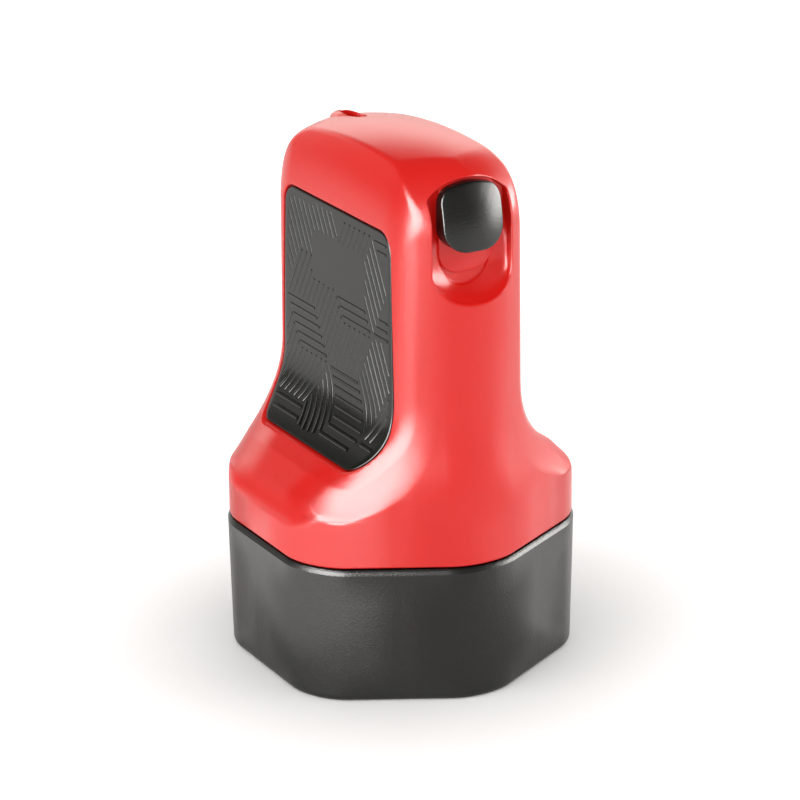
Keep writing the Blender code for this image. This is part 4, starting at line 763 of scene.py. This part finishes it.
def recessCutter():
    r = recess
    rings = []
    rim, edge = r["rimFillet"], r["floorFillet"]
    for rise, inset in filletSteps(edge, r["floorTurns"]):
        rings.append(flatRing(floorOutline(-inset), r["floorX"] + rise))
    start = r["floorX"] + edge
    low, high = floorOutline(0.0), rimOutline(0.0)
    top = onSlantHull(high, rim)
    fade = np.clip((high[:, 1] - r["wallLow"]) / (r["wallHigh"] - r["wallLow"]), 0.0, 1.0)
    foot = top[:, 0] + (np.minimum(r["wallFootX"], top[:, 0]) - top[:, 0]) * fade * fade * (3.0 - 2.0 * fade)
    for share in r["rampShares"]:
        outline = low + (high - low) * (1.0 - (1.0 - share) ** r["rampPower"])
        rings.append(flatRing(outline, start + (foot - start) * share))
    for share in r["wallShares"]:
        outline = low + (high - low) * (1.0 if share else r["footScale"])
        drop = 0.0 if share else (foot - start) * r["footDrop"]
        rings.append(flatRing(outline, foot + (top[:, 0] - foot) * share - drop))
    rings += [onSlantHull(rimOutline(grow), depth) for depth, grow in filletSteps(rim, r["rimTurns"])]
    rings.append(onSlantHull(rimOutline(rim), -r["over"]))
    rings.append(flatRing(rimOutline(rim), r["outsideX"]))
    cutter = addPiece("recessCutter", stackRings("recessCutter", rings))
    half, corner, rise, soft = r["tongueHalf"], r["tongueCorner"], r["tongueRise"], r["tongueFillet"]
    panel = []
    past, top = shell["past"], r["topZ"] + shell["past"]
    for depth, inset in ((-past, 0.0), (rise - soft, 0.0), (rise - soft * 0.3, soft * 0.3), (rise, soft)):
        radius = corner - inset
        outline = arcPoints(half - corner, r["tongueLow"] + corner, radius, radius, -90, 0, 12)
        outline += [(half - inset, top), (inset - half, top)]
        outline += arcPoints(corner - half, r["tongueLow"] + corner, radius, radius, 180, 270, 12)
        panel.append(flatRing(np.array(outline), r["floorX"] + depth))
    return carve(cutter, [addPiece("tonguePanel", stackRings("tonguePanel", panel))])


def boxPiece(name, low, high):
    outline = [(low[0], low[1]), (high[0], low[1]), (high[0], high[1]), (low[0], high[1])]
    rings = [[(x, y, level) for x, y in outline] for level in (low[2], high[2])]
    return addPiece(name, stackRings(name, rings))


def cavityTool():
    grid = shell["plain"]
    rings = [wallRing(level, shell["wall"], grid) for level in shell["plainLevels"]]
    rings += domeRings(shell["wall"], grid)
    cavity = addPiece("cavityTool", stackRings("cavityTool", rings, closeHigh=False))
    outline = rimOutline(recess["wall"])
    boss = addPiece("recessBoss", stackRings("recessBoss", [
        flatRing(outline, recess["floorX"] - recess["wall"]), flatRing(outline, recess["bossX"])]))
    return carve(cavity, [boss])


def ballPiece(name, centre, halves, across=64, up=32):
    form = bmesh.new()
    bmesh.ops.create_uvsphere(form, u_segments=across, v_segments=up, radius=1.0)
    bmesh.ops.scale(form, vec=halves, verts=form.verts)
    bmesh.ops.translate(form, vec=centre, verts=form.verts)
    mesh = bpy.data.meshes.new(name)
    form.to_mesh(mesh)
    form.free()
    return addPiece(name, mesh)


# ---- grip pads and their pockets ----
pad = {
    "low": 0.0391, "high": 0.0792, "lowHalf": 0.0189, "highHalf": 0.0181, "topCorner": 0.0032,
    "footX": 0.0055, "footZ": 0.0072, "pocket": 0.0013, "gap": 0.0003, "sink": 0.0002, "edge": 0.00025,
    "rimFillet": 0.0003, "rimTurns": (60, 34, 12), "edgeTurns": (0, 22, 45, 68, 90),
    # the pocket's tool widens over its rim and leaves the hull by these depths
    "overWide": 0.0004, "overLow": -0.0001, "overHigh": -0.0010,
}


def padOutline(grow, steps=12):
    # right half as (height, half width), from the foot to the top
    low, high = pad["low"] - grow, pad["high"] + grow
    footX, footZ, top = pad["footX"] + grow, pad["footZ"] + grow, pad["topCorner"] + grow
    rows = [(low + footZ + z, pad["lowHalf"] + grow - footX + x)
            for x, z in arcPoints(0.0, 0.0, footX, footZ, -90, 0, steps)]
    straight = low + footZ
    rows += [(z, pad["lowHalf"] + grow) for z in np.linspace(straight, hull["scoopTop"], 9)[1:]]
    rows += [(hull["scoopTop"] + share * (high - top - hull["scoopTop"]),
              pad["lowHalf"] + grow + (pad["highHalf"] - pad["lowHalf"]) * share)
             for share in np.linspace(0.0, 1.0, 40)[1:-1]]
    rows += [(high - top + z, pad["highHalf"] + grow - top + x)
             for x, z in arcPoints(0.0, 0.0, top, top, 0, 90, steps)]
    return rows


def onBroadHull(x, z, side, depth):
    return castAlong(np.stack([x, 0.0 * x, z], axis=1), (0.0, side, 0.0), depth)


def padLoop(side, grow, depth, columns=72):
    # the rim of padSheet's grid, run round once
    rows = padOutline(grow)
    shares = np.linspace(-1.0, 1.0, columns)
    rim = [(rows[0][1] * share, rows[0][0]) for share in shares]
    rim += [(half, level) for level, half in rows[1:-1]]
    rim += [(rows[-1][1] * share, rows[-1][0]) for share in shares[::-1]]
    rim += [(-half, level) for level, half in rows[-2:0:-1]]
    x, z = np.array(rim).T
    return onBroadHull(x, z, side, depth)


def loopSolid(name, rings, firstSheet, lastSheet):
    # a stack of rims with a sheet over both ends
    count, columns = len(rings[0]), len(firstSheet[0])
    points = [tuple(point) for ring in rings for point in ring]
    faces = ringFaces(len(rings), count)
    for sheet in (firstSheet, lastSheet):
        faces += gridFaces(len(sheet), columns, len(points))
        points += [tuple(point) for row in sheet for point in row]
    return addPiece(name, makeMesh(name, points, faces))


def pocketCutter(side):
    fillet, gap = pad["rimFillet"], pad["gap"]
    wide = gap + (fillet + pad["overWide"])
    rings = [padLoop(side, gap, pad["pocket"]), padLoop(side, gap, fillet)]
    rings += [padLoop(side, gap + grow, depth) for depth, grow in filletSteps(fillet, pad["rimTurns"])]
    rings += [padLoop(side, wide, pad["overLow"]), padLoop(side, wide, pad["overHigh"])]
    return loopSolid("pocketCutter", rings, padSheet(side, gap, pad["pocket"]),
                     padSheet(side, wide, pad["overHigh"]))


def padSheet(side, grow, depth, columns=72):
    rows = padOutline(grow)
    shares = np.linspace(-1.0, 1.0, columns)
    return [onBroadHull(shares * half, 0.0 * shares + level, side, depth) for level, half in rows]


def gridFaces(rowCount, columns, offset):
    return [(offset + r * columns + c, offset + r * columns + c + 1,
             offset + (r + 1) * columns + c + 1, offset + (r + 1) * columns + c)
            for r in range(rowCount - 1) for c in range(columns - 1)]


def slotTools():
    lip, slot = shell["lip"], shell["slot"]
    top = float(castToHull(np.array([[lip["x"], 0.0, hull["neckTop"]]]), np.array([[0.0, 0.0, 1.0]]))[0][2])
    top += lip["rise"]
    bump = ballPiece("slotLip", (lip["x"], 0.0, top - lip["halves"][2]), lip["halves"])
    mouth = ballPiece("slotMouth", (slot["mouthX"], 0.0, top),
                      (slot["mouthHalfX"], slot["mouthY"], slot["mouthDepth"]), 48, 24)
    slit = boxPiece("slotSlit", (slot["x"] - slot["halfX"], -slot["halfY"], top - 2 * shell["wall"]),
                    (slot["x"] + slot["halfX"], slot["halfY"], top + shell["past"]))
    return bump, [mouth, slit]


def snapTools():
    snap, tools = shell["snap"], []
    wallY = hull["flatHalf"] - shell["wall"]
    near, far = wallY - snap["inward"], wallY + snap["outward"]
    for x in (-snap["x"], snap["x"]):
        for side in (-1, 1):
            low, high = sorted((side * near, side * far))
            reach = snap["half"] + snap["gap"]
            tools.append(boxPiece("snapWindow", (x - reach, low, snap["z"] - snap["gap"]),
                                  (x + reach, high, snap["z"] + snap["height"] + snap["gap"])))
    return tools


def makeShell():
    grid, fillet, base = shell["fine"], shell["footFillet"], hull["baseZ"]
    rings = [wallRing(base, fillet, grid)]
    rings += [wallRing(base + rise, inset, grid) for rise, inset in filletSteps(fillet, shell["footTurns"])]
    rings += [wallRing(level, 0.0, grid) for level in shell["levels"]]
    rings += domeRings(0.0, grid)
    skin = addPiece("shellSkin", stackRings("shellSkin", rings, closeHigh=False), materials["redShell"])
    bump, slotCuts = slotTools()
    carve(skin, [bump], "UNION")
    tools = [cavityTool(), pocketCutter(-1.0), pocketCutter(1.0), recessCutter()]
    back, front = recess["floorX"] - recess["wall"], recess["floorX"] + recess["tongueRise"]
    stem = boxPiece("stemSlot", (back - shell["past"], -recess["stemHalf"], recess["stemLow"]),
                    (front + shell["past"], recess["stemHalf"], recess["stemTop"]))
    carve(skin, tools + [stem] + slotCuts + snapTools())
    followHullNormals(skin.data)
    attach(skin, "housing")
    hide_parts("housing_shell")
    print("scene: housing shell has", len(skin.data.polygons), "faces")


makeShell()


# ---- grip pads with their ridges ----
ridges = {
    "cell": 0.0100, "perCell": 6, "endGap": 0.0003, "radius": 0.00050, "proud": 0.00012,
    "margin": 0.0011, "centreX": 0.0022, "centreZ": 0.0592, "shiftZ": 0.0013, "sample": 0.00035,
    "shortest": 0.0022, "cellsEachWay": 4, "endLength": 0.0004, "endWidth": 0.55, "sides": 8,
    "bare": {"x": 0.0004, "z": 0.0693, "halfX": 0.0090, "halfZ": 0.0043, "corner": 0.0020},
}


def insidePad(x, z, margin):
    levels, halves = np.array(padOutline(-margin)).T
    order = np.argsort(levels)
    half = np.interp(z, levels[order], halves[order], left=-1.0, right=-1.0)
    return np.abs(x) < half


def onBarePatch(x, z):
    bare = ridges["bare"]
    across = np.maximum(np.abs(x - bare["x"]) - bare["halfX"] + bare["corner"], 0.0)
    upward = np.maximum(np.abs(z - bare["z"]) - bare["halfZ"] + bare["corner"], 0.0)
    return np.hypot(across, upward) < bare["corner"]


def ridgeLines():
    # six-sided cells of three lozenges: two ruled to a chevron, the third ruled on along its edge
    side, count = ridges["cell"], ridges["perCell"]
    corner = [np.array([math.cos(math.radians(turn)), math.sin(math.radians(turn))]) * side
              for turn in (0, 120, 240)]
    columnStep, rowStep = 1.5 * side, math.sqrt(3.0) * side
    lines = []
    span = range(-ridges["cellsEachWay"], ridges["cellsEachWay"] + 1)
    for column in span:
        for row in span:
            middle = np.array([column * columnStep + ridges["centreX"], ridges["centreZ"]
                               + row * rowStep + (column % 2) * rowStep / 2 + ridges["shiftZ"]])
            turn = (column + 2 * row) % 3
            for along, across in ((turn, turn - 2), (turn - 1, turn - 2), (turn - 1, turn)):
                run, step = corner[along], corner[across]
                trim = ridges["endGap"] / side
                for index in range(count):
                    start = middle + step * (index + 0.5) / count
                    lines.append((start + run * trim, start + run * (1.0 - trim)))
    return lines


def clippedRuns(line):
    start, end = line
    length = np.linalg.norm(end - start)
    shares = np.linspace(0.0, 1.0, max(int(length / ridges["sample"]), 2))
    points = start + shares[:, None] * (end - start)
    keep = insidePad(points[:, 0], points[:, 1], ridges["margin"]) & ~onBarePatch(points[:, 0], points[:, 1])
    runs, current = [], []
    for point, good in zip(points, keep):
        if good:
            current.append(point)
        elif current:
            runs.append(current)
            current = []
    if current:
        runs.append(current)
    return [run for run in runs if (len(run) - 1) * ridges["sample"] > ridges["shortest"]]


def ridgeTree():
    tree, start, end = newGroup("padRidges", [
        ("Lines", "NodeSocketGeometry", None), ("Ridge Radius", "NodeSocketFloat", ridges["radius"]),
        ("End Length", "NodeSocketFloat", ridges["endLength"]), ("Sides", "NodeSocketInt", ridges["sides"]),
        ("Finish", "NodeSocketMaterial", None),
    ], [("Ridges", "NodeSocketGeometry")], "GeometryNodeTree")
    curve = addNode(tree, "GeometryNodeMeshToCurve")
    along = addNode(tree, "GeometryNodeSplineParameter")
    size = addNode(tree, "GeometryNodeSplineLength")
    left = addNode(tree, "ShaderNodeMath", operation="SUBTRACT")
    nearest = addNode(tree, "ShaderNodeMath", operation="MINIMUM")
    taper = fadeNode(tree, 0.0, 1.0, ridges["endWidth"], 1.0)
    width = addNode(tree, "GeometryNodeSetCurveRadius")
    ring = addNode(tree, "GeometryNodeCurvePrimitiveCircle")
    sweep = addNode(tree, "GeometryNodeCurveToMesh", Fill_Caps=True)
    real = addNode(tree, "GeometryNodeRealizeInstances")
    paint = addNode(tree, "GeometryNodeSetMaterial")
    join(tree, (start, "Lines", curve, "Mesh"), (curve, "Curve", width, "Curve"), (size, "Length", left, 0),
         (along, "Length", left, 1), (left, "Value", nearest, 0), (along, "Length", nearest, 1),
         (nearest, "Value", taper, "Value"), (start, "End Length", taper, "From Max"),
         (taper, "Result", width, "Radius"), (width, "Curve", sweep, "Curve"),
         (start, "Ridge Radius", ring, "Radius"), (start, "Sides", ring, "Resolution"),
         (ring, "Curve", sweep, "Profile Curve"), (sweep, "Mesh", real, "Geometry"),
         (real, "Geometry", paint, "Geometry"), (start, "Finish", paint, "Material"),
         (paint, "Geometry", end, "Ridges"))
    return tree


def runTree(name, source, tree, values):
    # one live modifier, inputs set by socket identifier, then a plain mesh
    piece = addPiece(name, source)
    modifier = piece.modifiers.new(tree.name, "NODES")
    modifier.node_group = tree
    for item in tree.interface.items_tree:
        if item.item_type == "SOCKET" and item.in_out == "INPUT" and item.name in values:
            modifier[item.identifier] = values[item.name]
    return bakeModifiers(piece)


def makeRidges(name, side, tree):
    depth = pad["sink"] + ridges["radius"] - ridges["proud"]
    points, edges = [], []
    for line in ridgeLines():
        for run in clippedRuns(line):
            x, z = np.array(run).T
            place = onBroadHull(x * (-side), z, side, depth)
            edges += [(len(points) + index, len(points) + index + 1) for index in range(len(place) - 1)]
            points += [tuple(point) for point in place]
    mesh = bpy.data.meshes.new(name)
    mesh.from_pydata(points, edges, [])
    piece = runTree(name, mesh, tree, {"Finish": materials["padRubber"]})
    smoothByAngle(piece.data, 50)
    return piece


def makePads():
    tree = ridgeTree()
    sink, edge, depth = pad["sink"], pad["edge"], pad["pocket"] - pad["gap"]
    for name, side, node in (("frontPad", -1.0, "front_grip_pad"), ("rearPad", 1.0, "rear_grip_pad")):
        rings = [padLoop(side, -inset, sink + drop) for drop, inset in filletSteps(edge, pad["edgeTurns"])]
        rings.append(padLoop(side, 0.0, depth))
        body = loopSolid(name, rings, padSheet(side, -edge, sink), padSheet(side, 0.0, depth))
        body.data.materials.append(materials["padRubber"])
        smoothByAngle(body.data, 40)
        lines = makeRidges(name + "Ridges", side, tree)
        for piece in (body, lines):
            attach(piece, "housing")
        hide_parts(node)
        print("scene:", name, "ridges have", len(lines.data.polygons), "faces")


makePads()


# ---- cap ----
cap = {
    "topZ": 0.0237, "wall": 0.0022, "floor": 0.0020, "footInset": 0.0002, "rimOutset": 0.00035,
    "footFillet": 0.0012, "innerFillet": 0.0008, "innerTurns": (0, 30, 60, 90), "wallShares": (0.25, 0.5, 0.75),
    # rings of the bevel round the top edge: height over its start, and inset from the rim
    "bevelHeight": 0.0008, "bevelRings": ((-0.0002, 0.00002), (0.0, 0.0), (0.0001, 0.00004), (0.0002, 0.00012),
                                          (0.0004, 0.0001512), (0.0006, 0.000288), (0.0008, 0.00046)),
    "rimSoft": 0.0003, "uprightWithin": 0.05, "alongSlope": 0.8,
    "grid": {"slants": evenSteps((0.0, 0.3, 14), (0.3, 0.85, 14), (0.85, 1.0, 8)),
             "bands": evenSteps((0.0, 0.3, 10), (0.3, 1.0, 12))},
}


def crownSides(mesh, top):
    # the upright sides take the same crowned shading as the skirt above them
    corners = readRows(mesh.corner_normals, "vector", 3, np.float32)
    points = readRows(mesh.vertices, "co", 3)[readRows(mesh.loops, "vertex_index", 1, np.int64)]
    slope = hullNormals(points)
    upright = (np.abs(corners[:, 2]) < cap["uprightWithin"]) & (points[:, 2] < top)
    upright &= (corners * slope).sum(axis=1) > cap["alongSlope"]
    slope[:, 2] = corners[:, 2]
    corners[upright] = unitRows(slope[upright])
    mesh.normals_split_custom_set([tuple(normal) for normal in corners])


def makeCap():
    c, grid = cap, cap["grid"]
    foot, out = c["footInset"], c["rimOutset"]
    rings = [wallRing(rise, foot + inset, grid)
             for rise, inset in filletSteps(c["footFillet"], np.linspace(0, 90, 9))]
    bevelZ = c["topZ"] - c["bevelHeight"]
    for share in c["wallShares"]:
        rings.append(wallRing(c["footFillet"] + (bevelZ - c["footFillet"]) * share,
                              foot + (-out - foot) * share, grid))
    rings += [wallRing(bevelZ + lift, inset - out, grid) for lift, inset in c["bevelRings"]]
    rings.append(wallRing(c["topZ"], c["wall"] - c["rimSoft"], grid))
    rings.append(wallRing(c["topZ"] - c["rimSoft"], c["wall"], grid))
    for inset, rise in filletSteps(c["innerFillet"], c["innerTurns"]):
        rings.append(wallRing(c["floor"] + rise, c["wall"] + inset, grid))
    piece = addPiece("capSkin", stackRings("capSkin", rings), materials["blackPlastic"])
    smoothByAngle(piece.data, 38)
    crownSides(piece.data, bevelZ)
    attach(piece, "cap")
    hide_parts("cap")
    print("scene: cap has", len(piece.data.polygons), "faces")


makeCap()


# ---- thumb button ----
button = {
    "half": 0.0055, "low": 0.0770, "top": 0.0881, "topCorner": 0.0030, "footCorner": 0.0040,
    "noseX": 0.0260, "noseZ": 0.0780, "profileRadius": 0.0250, "faceRadius": 0.0150, "edge": 0.0002,
    "backX": 0.0223, "edgeTurns": (0, 18, 36, 54, 72, 90), "cornerTurn": 66, "topShare": 0.88,
    "faceShares": (0.9, 0.78, 0.65, 0.52, 0.4, 0.28, 0.16, 0.06),
}


def buttonOutline(inset, steps=10):
    b = button
    half, foot, corner = b["half"] - inset, b["footCorner"] - inset, b["topCorner"] - inset
    low, top = b["low"] + inset, b["top"] - inset
    radius = recess["topRadius"]
    drop = radius - math.sqrt(radius ** 2 - (half - corner) ** 2)
    cornerZ = top - drop - corner
    points = arcPoints(half - foot, low + foot, foot, foot, -90, 0, steps)
    points += [(half, low + foot + (cornerZ - low - foot) * step / 8) for step in range(1, 8)]
    points += arcPoints(half - corner, cornerZ, corner, corner, 0, b["cornerTurn"], 6)
    across = (half - corner) * b["topShare"]
    points += [(y, top - (radius - math.sqrt(radius ** 2 - y * y))) for y in np.linspace(across, -across, 13)]
    points += arcPoints(corner - half, cornerZ, corner, corner, 180 - b["cornerTurn"], 180, 6)
    points += [(-half, cornerZ + (low + foot - cornerZ) * step / 8) for step in range(1, 8)]
    points += arcPoints(foot - half, low + foot, foot, foot, 180, 270, steps)
    return np.array(points)


def buttonFace(outline):
    b = button
    y, z = outline.T
    return b["noseX"] - (z - b["noseZ"]) ** 2 / (2 * b["profileRadius"]) - y ** 2 / (2 * b["faceRadius"])


def makeButton():
    b = button
    rings = [flatRing(buttonOutline(0.0), b["backX"])]
    for inset, drop in filletSteps(b["edge"], b["edgeTurns"]):
        outline = buttonOutline(inset)
        rings.append(flatRing(outline, buttonFace(outline) - drop))
    middle = np.array([0.0, (b["low"] + b["top"]) / 2])
    edge = buttonOutline(b["edge"])
    for share in b["faceShares"]:
        outline = middle + (edge - middle) * share
        rings.append(flatRing(outline, buttonFace(outline)))
    piece = addPiece("buttonSkin", stackRings("buttonSkin", rings), materials["buttonBlack"])
    smoothByAngle(piece.data, 40)
    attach(piece, "button")
    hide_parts("thumb_button")


makeButton()


# ---- print sleeve with its raised marks ----
sleeve = {
    "half": 0.0168, "radius": 0.0130, "wall": 0.0014, "centreZ": 0.0160, "relief": 0.00038, "edge": 0.0002,
    "columns": 33, "around": 78, "endGap": 0.0007, "sides": 96, "seat": 0.00002,
    "spin": 1.3, "smallest": (0.45, 0.6, 1.0), "largest": (1.05, 1.0, 1.0),
    "marks": {"Mark Length": 0.00085, "Mark Width": 0.00052, "Share Kept": 0.78, "Seed": 11},
}


def markTree():
    # small raised dashes at random turns and lengths, which print one dense even grey
    tree, start, end = newGroup("sleeveMarks", [
        ("Places", "NodeSocketGeometry", None), ("Mark Length", "NodeSocketFloat", 0.0008),
        ("Mark Width", "NodeSocketFloat", 0.0005), ("Mark Height", "NodeSocketFloat", 0.0004),
        ("Centre Height", "NodeSocketFloat", 0.0), ("Share Kept", "NodeSocketFloat", 0.8),
        ("Seed", "NodeSocketInt", 1), ("Finish", "NodeSocketMaterial", None),
    ], [("Marks", "NodeSocketGeometry")], "GeometryNodeTree")
    size = addNode(tree, "ShaderNodeCombineXYZ")
    block = addNode(tree, "GeometryNodeMeshCube")
    place = addNode(tree, "GeometryNodeInputPosition")
    split, outward = addNode(tree, "ShaderNodeSeparateXYZ"), addNode(tree, "ShaderNodeCombineXYZ")
    rise = addNode(tree, "ShaderNodeMath", operation="SUBTRACT")
    align = addNode(tree, "FunctionNodeAlignRotationToVector", axis="Z")
    spin = addNode(tree, "FunctionNodeRandomValue", data_type="FLOAT")
    spin.inputs[2].default_value, spin.inputs[3].default_value = -sleeve["spin"], sleeve["spin"]
    turn = addNode(tree, "FunctionNodeAxisAngleToRotation", Axis=(0.0, 0.0, 1.0))
    rotate = addNode(tree, "FunctionNodeRotateRotation", rotation_space="LOCAL")
    spread = addNode(tree, "FunctionNodeRandomValue", data_type="FLOAT_VECTOR")
    spread.inputs[0].default_value, spread.inputs[1].default_value = sleeve["smallest"], sleeve["largest"]
    keep = addNode(tree, "FunctionNodeRandomValue", data_type="BOOLEAN")
    copies = addNode(tree, "GeometryNodeInstanceOnPoints")
    real = addNode(tree, "GeometryNodeRealizeInstances")
    paint = addNode(tree, "GeometryNodeSetMaterial")
    for label, axis in (("Mark Length", "X"), ("Mark Width", "Y"), ("Mark Height", "Z")):
        join(tree, (start, label, size, axis))
    join(tree, (size, "Vector", block, "Size"), (place, "Position", split, "Vector"), (split, "Z", rise, 0),
         (start, "Centre Height", rise, 1), (split, "Y", outward, "Y"), (rise, "Value", outward, "Z"),
         (outward, "Vector", align, "Vector"), (spin, 1, turn, "Angle"),
         (align, "Rotation", rotate, "Rotation"), (turn, "Rotation", rotate, "Rotate By"))
    for dice in (spin, spread, keep):
        join(tree, (start, "Seed", dice, "Seed"))
    join(tree, (start, "Share Kept", keep, "Probability"), (start, "Places", copies, "Points"),
         (block, "Mesh", copies, "Instance"), (rotate, "Rotation", copies, "Rotation"),
         (spread, 0, copies, "Scale"), (keep, 3, copies, "Selection"), (copies, "Instances", real, "Geometry"),
         (real, "Geometry", paint, "Geometry"), (start, "Finish", paint, "Material"),
         (paint, "Geometry", end, "Marks"))
    return tree


def sleeveRing(x, radius, count, shift=0.0):
    turns = (np.arange(count) + shift) * 2.0 * math.pi / count
    return flatRing(np.stack([radius * np.cos(turns), sleeve["centreZ"] + radius * np.sin(turns)], axis=1), x)


def makeSleeve():
    w = sleeve
    base, inner, edge = w["radius"] - w["relief"], w["radius"] - w["wall"], w["edge"]
    outline = [(-w["half"], inner), (-w["half"], base - edge), (edge - w["half"], base),
               (w["half"] - edge, base), (w["half"], base - edge), (w["half"], inner)]
    rings = [sleeveRing(x, radius, w["sides"]) for x, radius in outline]
    body = addPiece("printSleeve", stackRings("printSleeve", rings, looped=True), materials["printRubber"])
    smoothByAngle(body.data, 40)
    height = w["relief"] - w["seat"]
    reach = w["half"] - w["endGap"]
    places = np.concatenate([sleeveRing(x, base + height / 2.0, w["around"], 0.5 * (index % 2))
                             for index, x in enumerate(np.linspace(-reach, reach, w["columns"]))])
    mesh = bpy.data.meshes.new("sleeveRelief")
    mesh.from_pydata([tuple(place) for place in places], [], [])
    values = dict(w["marks"], Finish=materials["printRubber"])
    values["Mark Height"], values["Centre Height"] = height, w["centreZ"]
    relief = runTree("sleeveRelief", mesh, markTree(), values)
    for piece in (body, relief):
        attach(piece, "print_roller")
    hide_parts("print_sleeve")
    print("scene: print sleeve relief has", len(relief.data.polygons), "faces")


makeSleeve()


# ---- return spring ----
spring = {
    "x": 0.0198, "coil": 0.0019, "wire": 0.00034, "low": 0.04646, "high": 0.05966, "turns": 8, "perTurn": 20,
    "sides": 8, "endTurns": 0.8, "endPitch": 0.00074, "stroke": 0.0045,
}


def makeSpring():
    # the end turns lie close together and the turns between them share the rest of the height
    w = spring
    low, high = w["low"] + w["wire"], w["high"] - w["wire"]
    turn = np.linspace(0.0, w["turns"], w["turns"] * w["perTurn"] + 1)
    endRise = w["endTurns"] * w["endPitch"]
    height = np.interp(turn, (0.0, w["endTurns"], w["turns"] - w["endTurns"], w["turns"]),
                       (low, low + endRise, high - endRise, high))
    angle = turn * 2.0 * math.pi
    line = np.stack([w["x"] + w["coil"] * np.cos(angle), w["coil"] * np.sin(angle), height], axis=1)
    rings = []
    for index, centre in enumerate(line):
        ahead, behind = line[min(index + 1, len(line) - 1)], line[max(index - 1, 0)]
        along = Vector(ahead - behind).normalized()
        outward = Vector((math.cos(angle[index]), math.sin(angle[index]), 0.0))
        upward = along.cross(outward).normalized()
        rings.append([Vector(centre) + w["wire"] * (math.cos(side) * outward + math.sin(side) * upward)
                      for side in np.arange(w["sides"]) * 2.0 * math.pi / w["sides"]])
    piece = addPiece("returnSpring", stackRings("returnSpring", rings), materials["steel"])
    smoothByAngle(piece.data, 60)
    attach(piece, "housing")
    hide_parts("return_spring")
    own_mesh(piece)
    print("scene: return spring has", len(piece.data.polygons), "faces")


makeSpring()


# ---- finishes of the inner pieces that keep their moulded shapes ----
kept = {
    "blackPlastic": ["chassis"],
    "framePlastic": ["cartridge_frame", "mechanism_frame", "button_slider"],
    "palePlastic": ["rocker_lever", "blade_carrier", "blade_clamp", "print_core", "print_bush_left",
                    "print_bush_right", "ink_core"],
    "foam": ["ink_foam"],
    "ceramic": ["ceramic_blade"],
    "steel": ["frame_screw_1", "frame_screw_2", "frame_screw_3", "frame_screw_4", "rocker_pin",
              "print_axle", "ink_axle"],
}
for finish, names in kept.items():
    for name in names:
        mesh = nodes[name].data
        mesh.materials.clear()
        mesh.materials.append(materials[finish])

placeCamera()
placeLamps()
placeSpills()
makeSky()
makeFloor()

print("scene: all pieces placed")
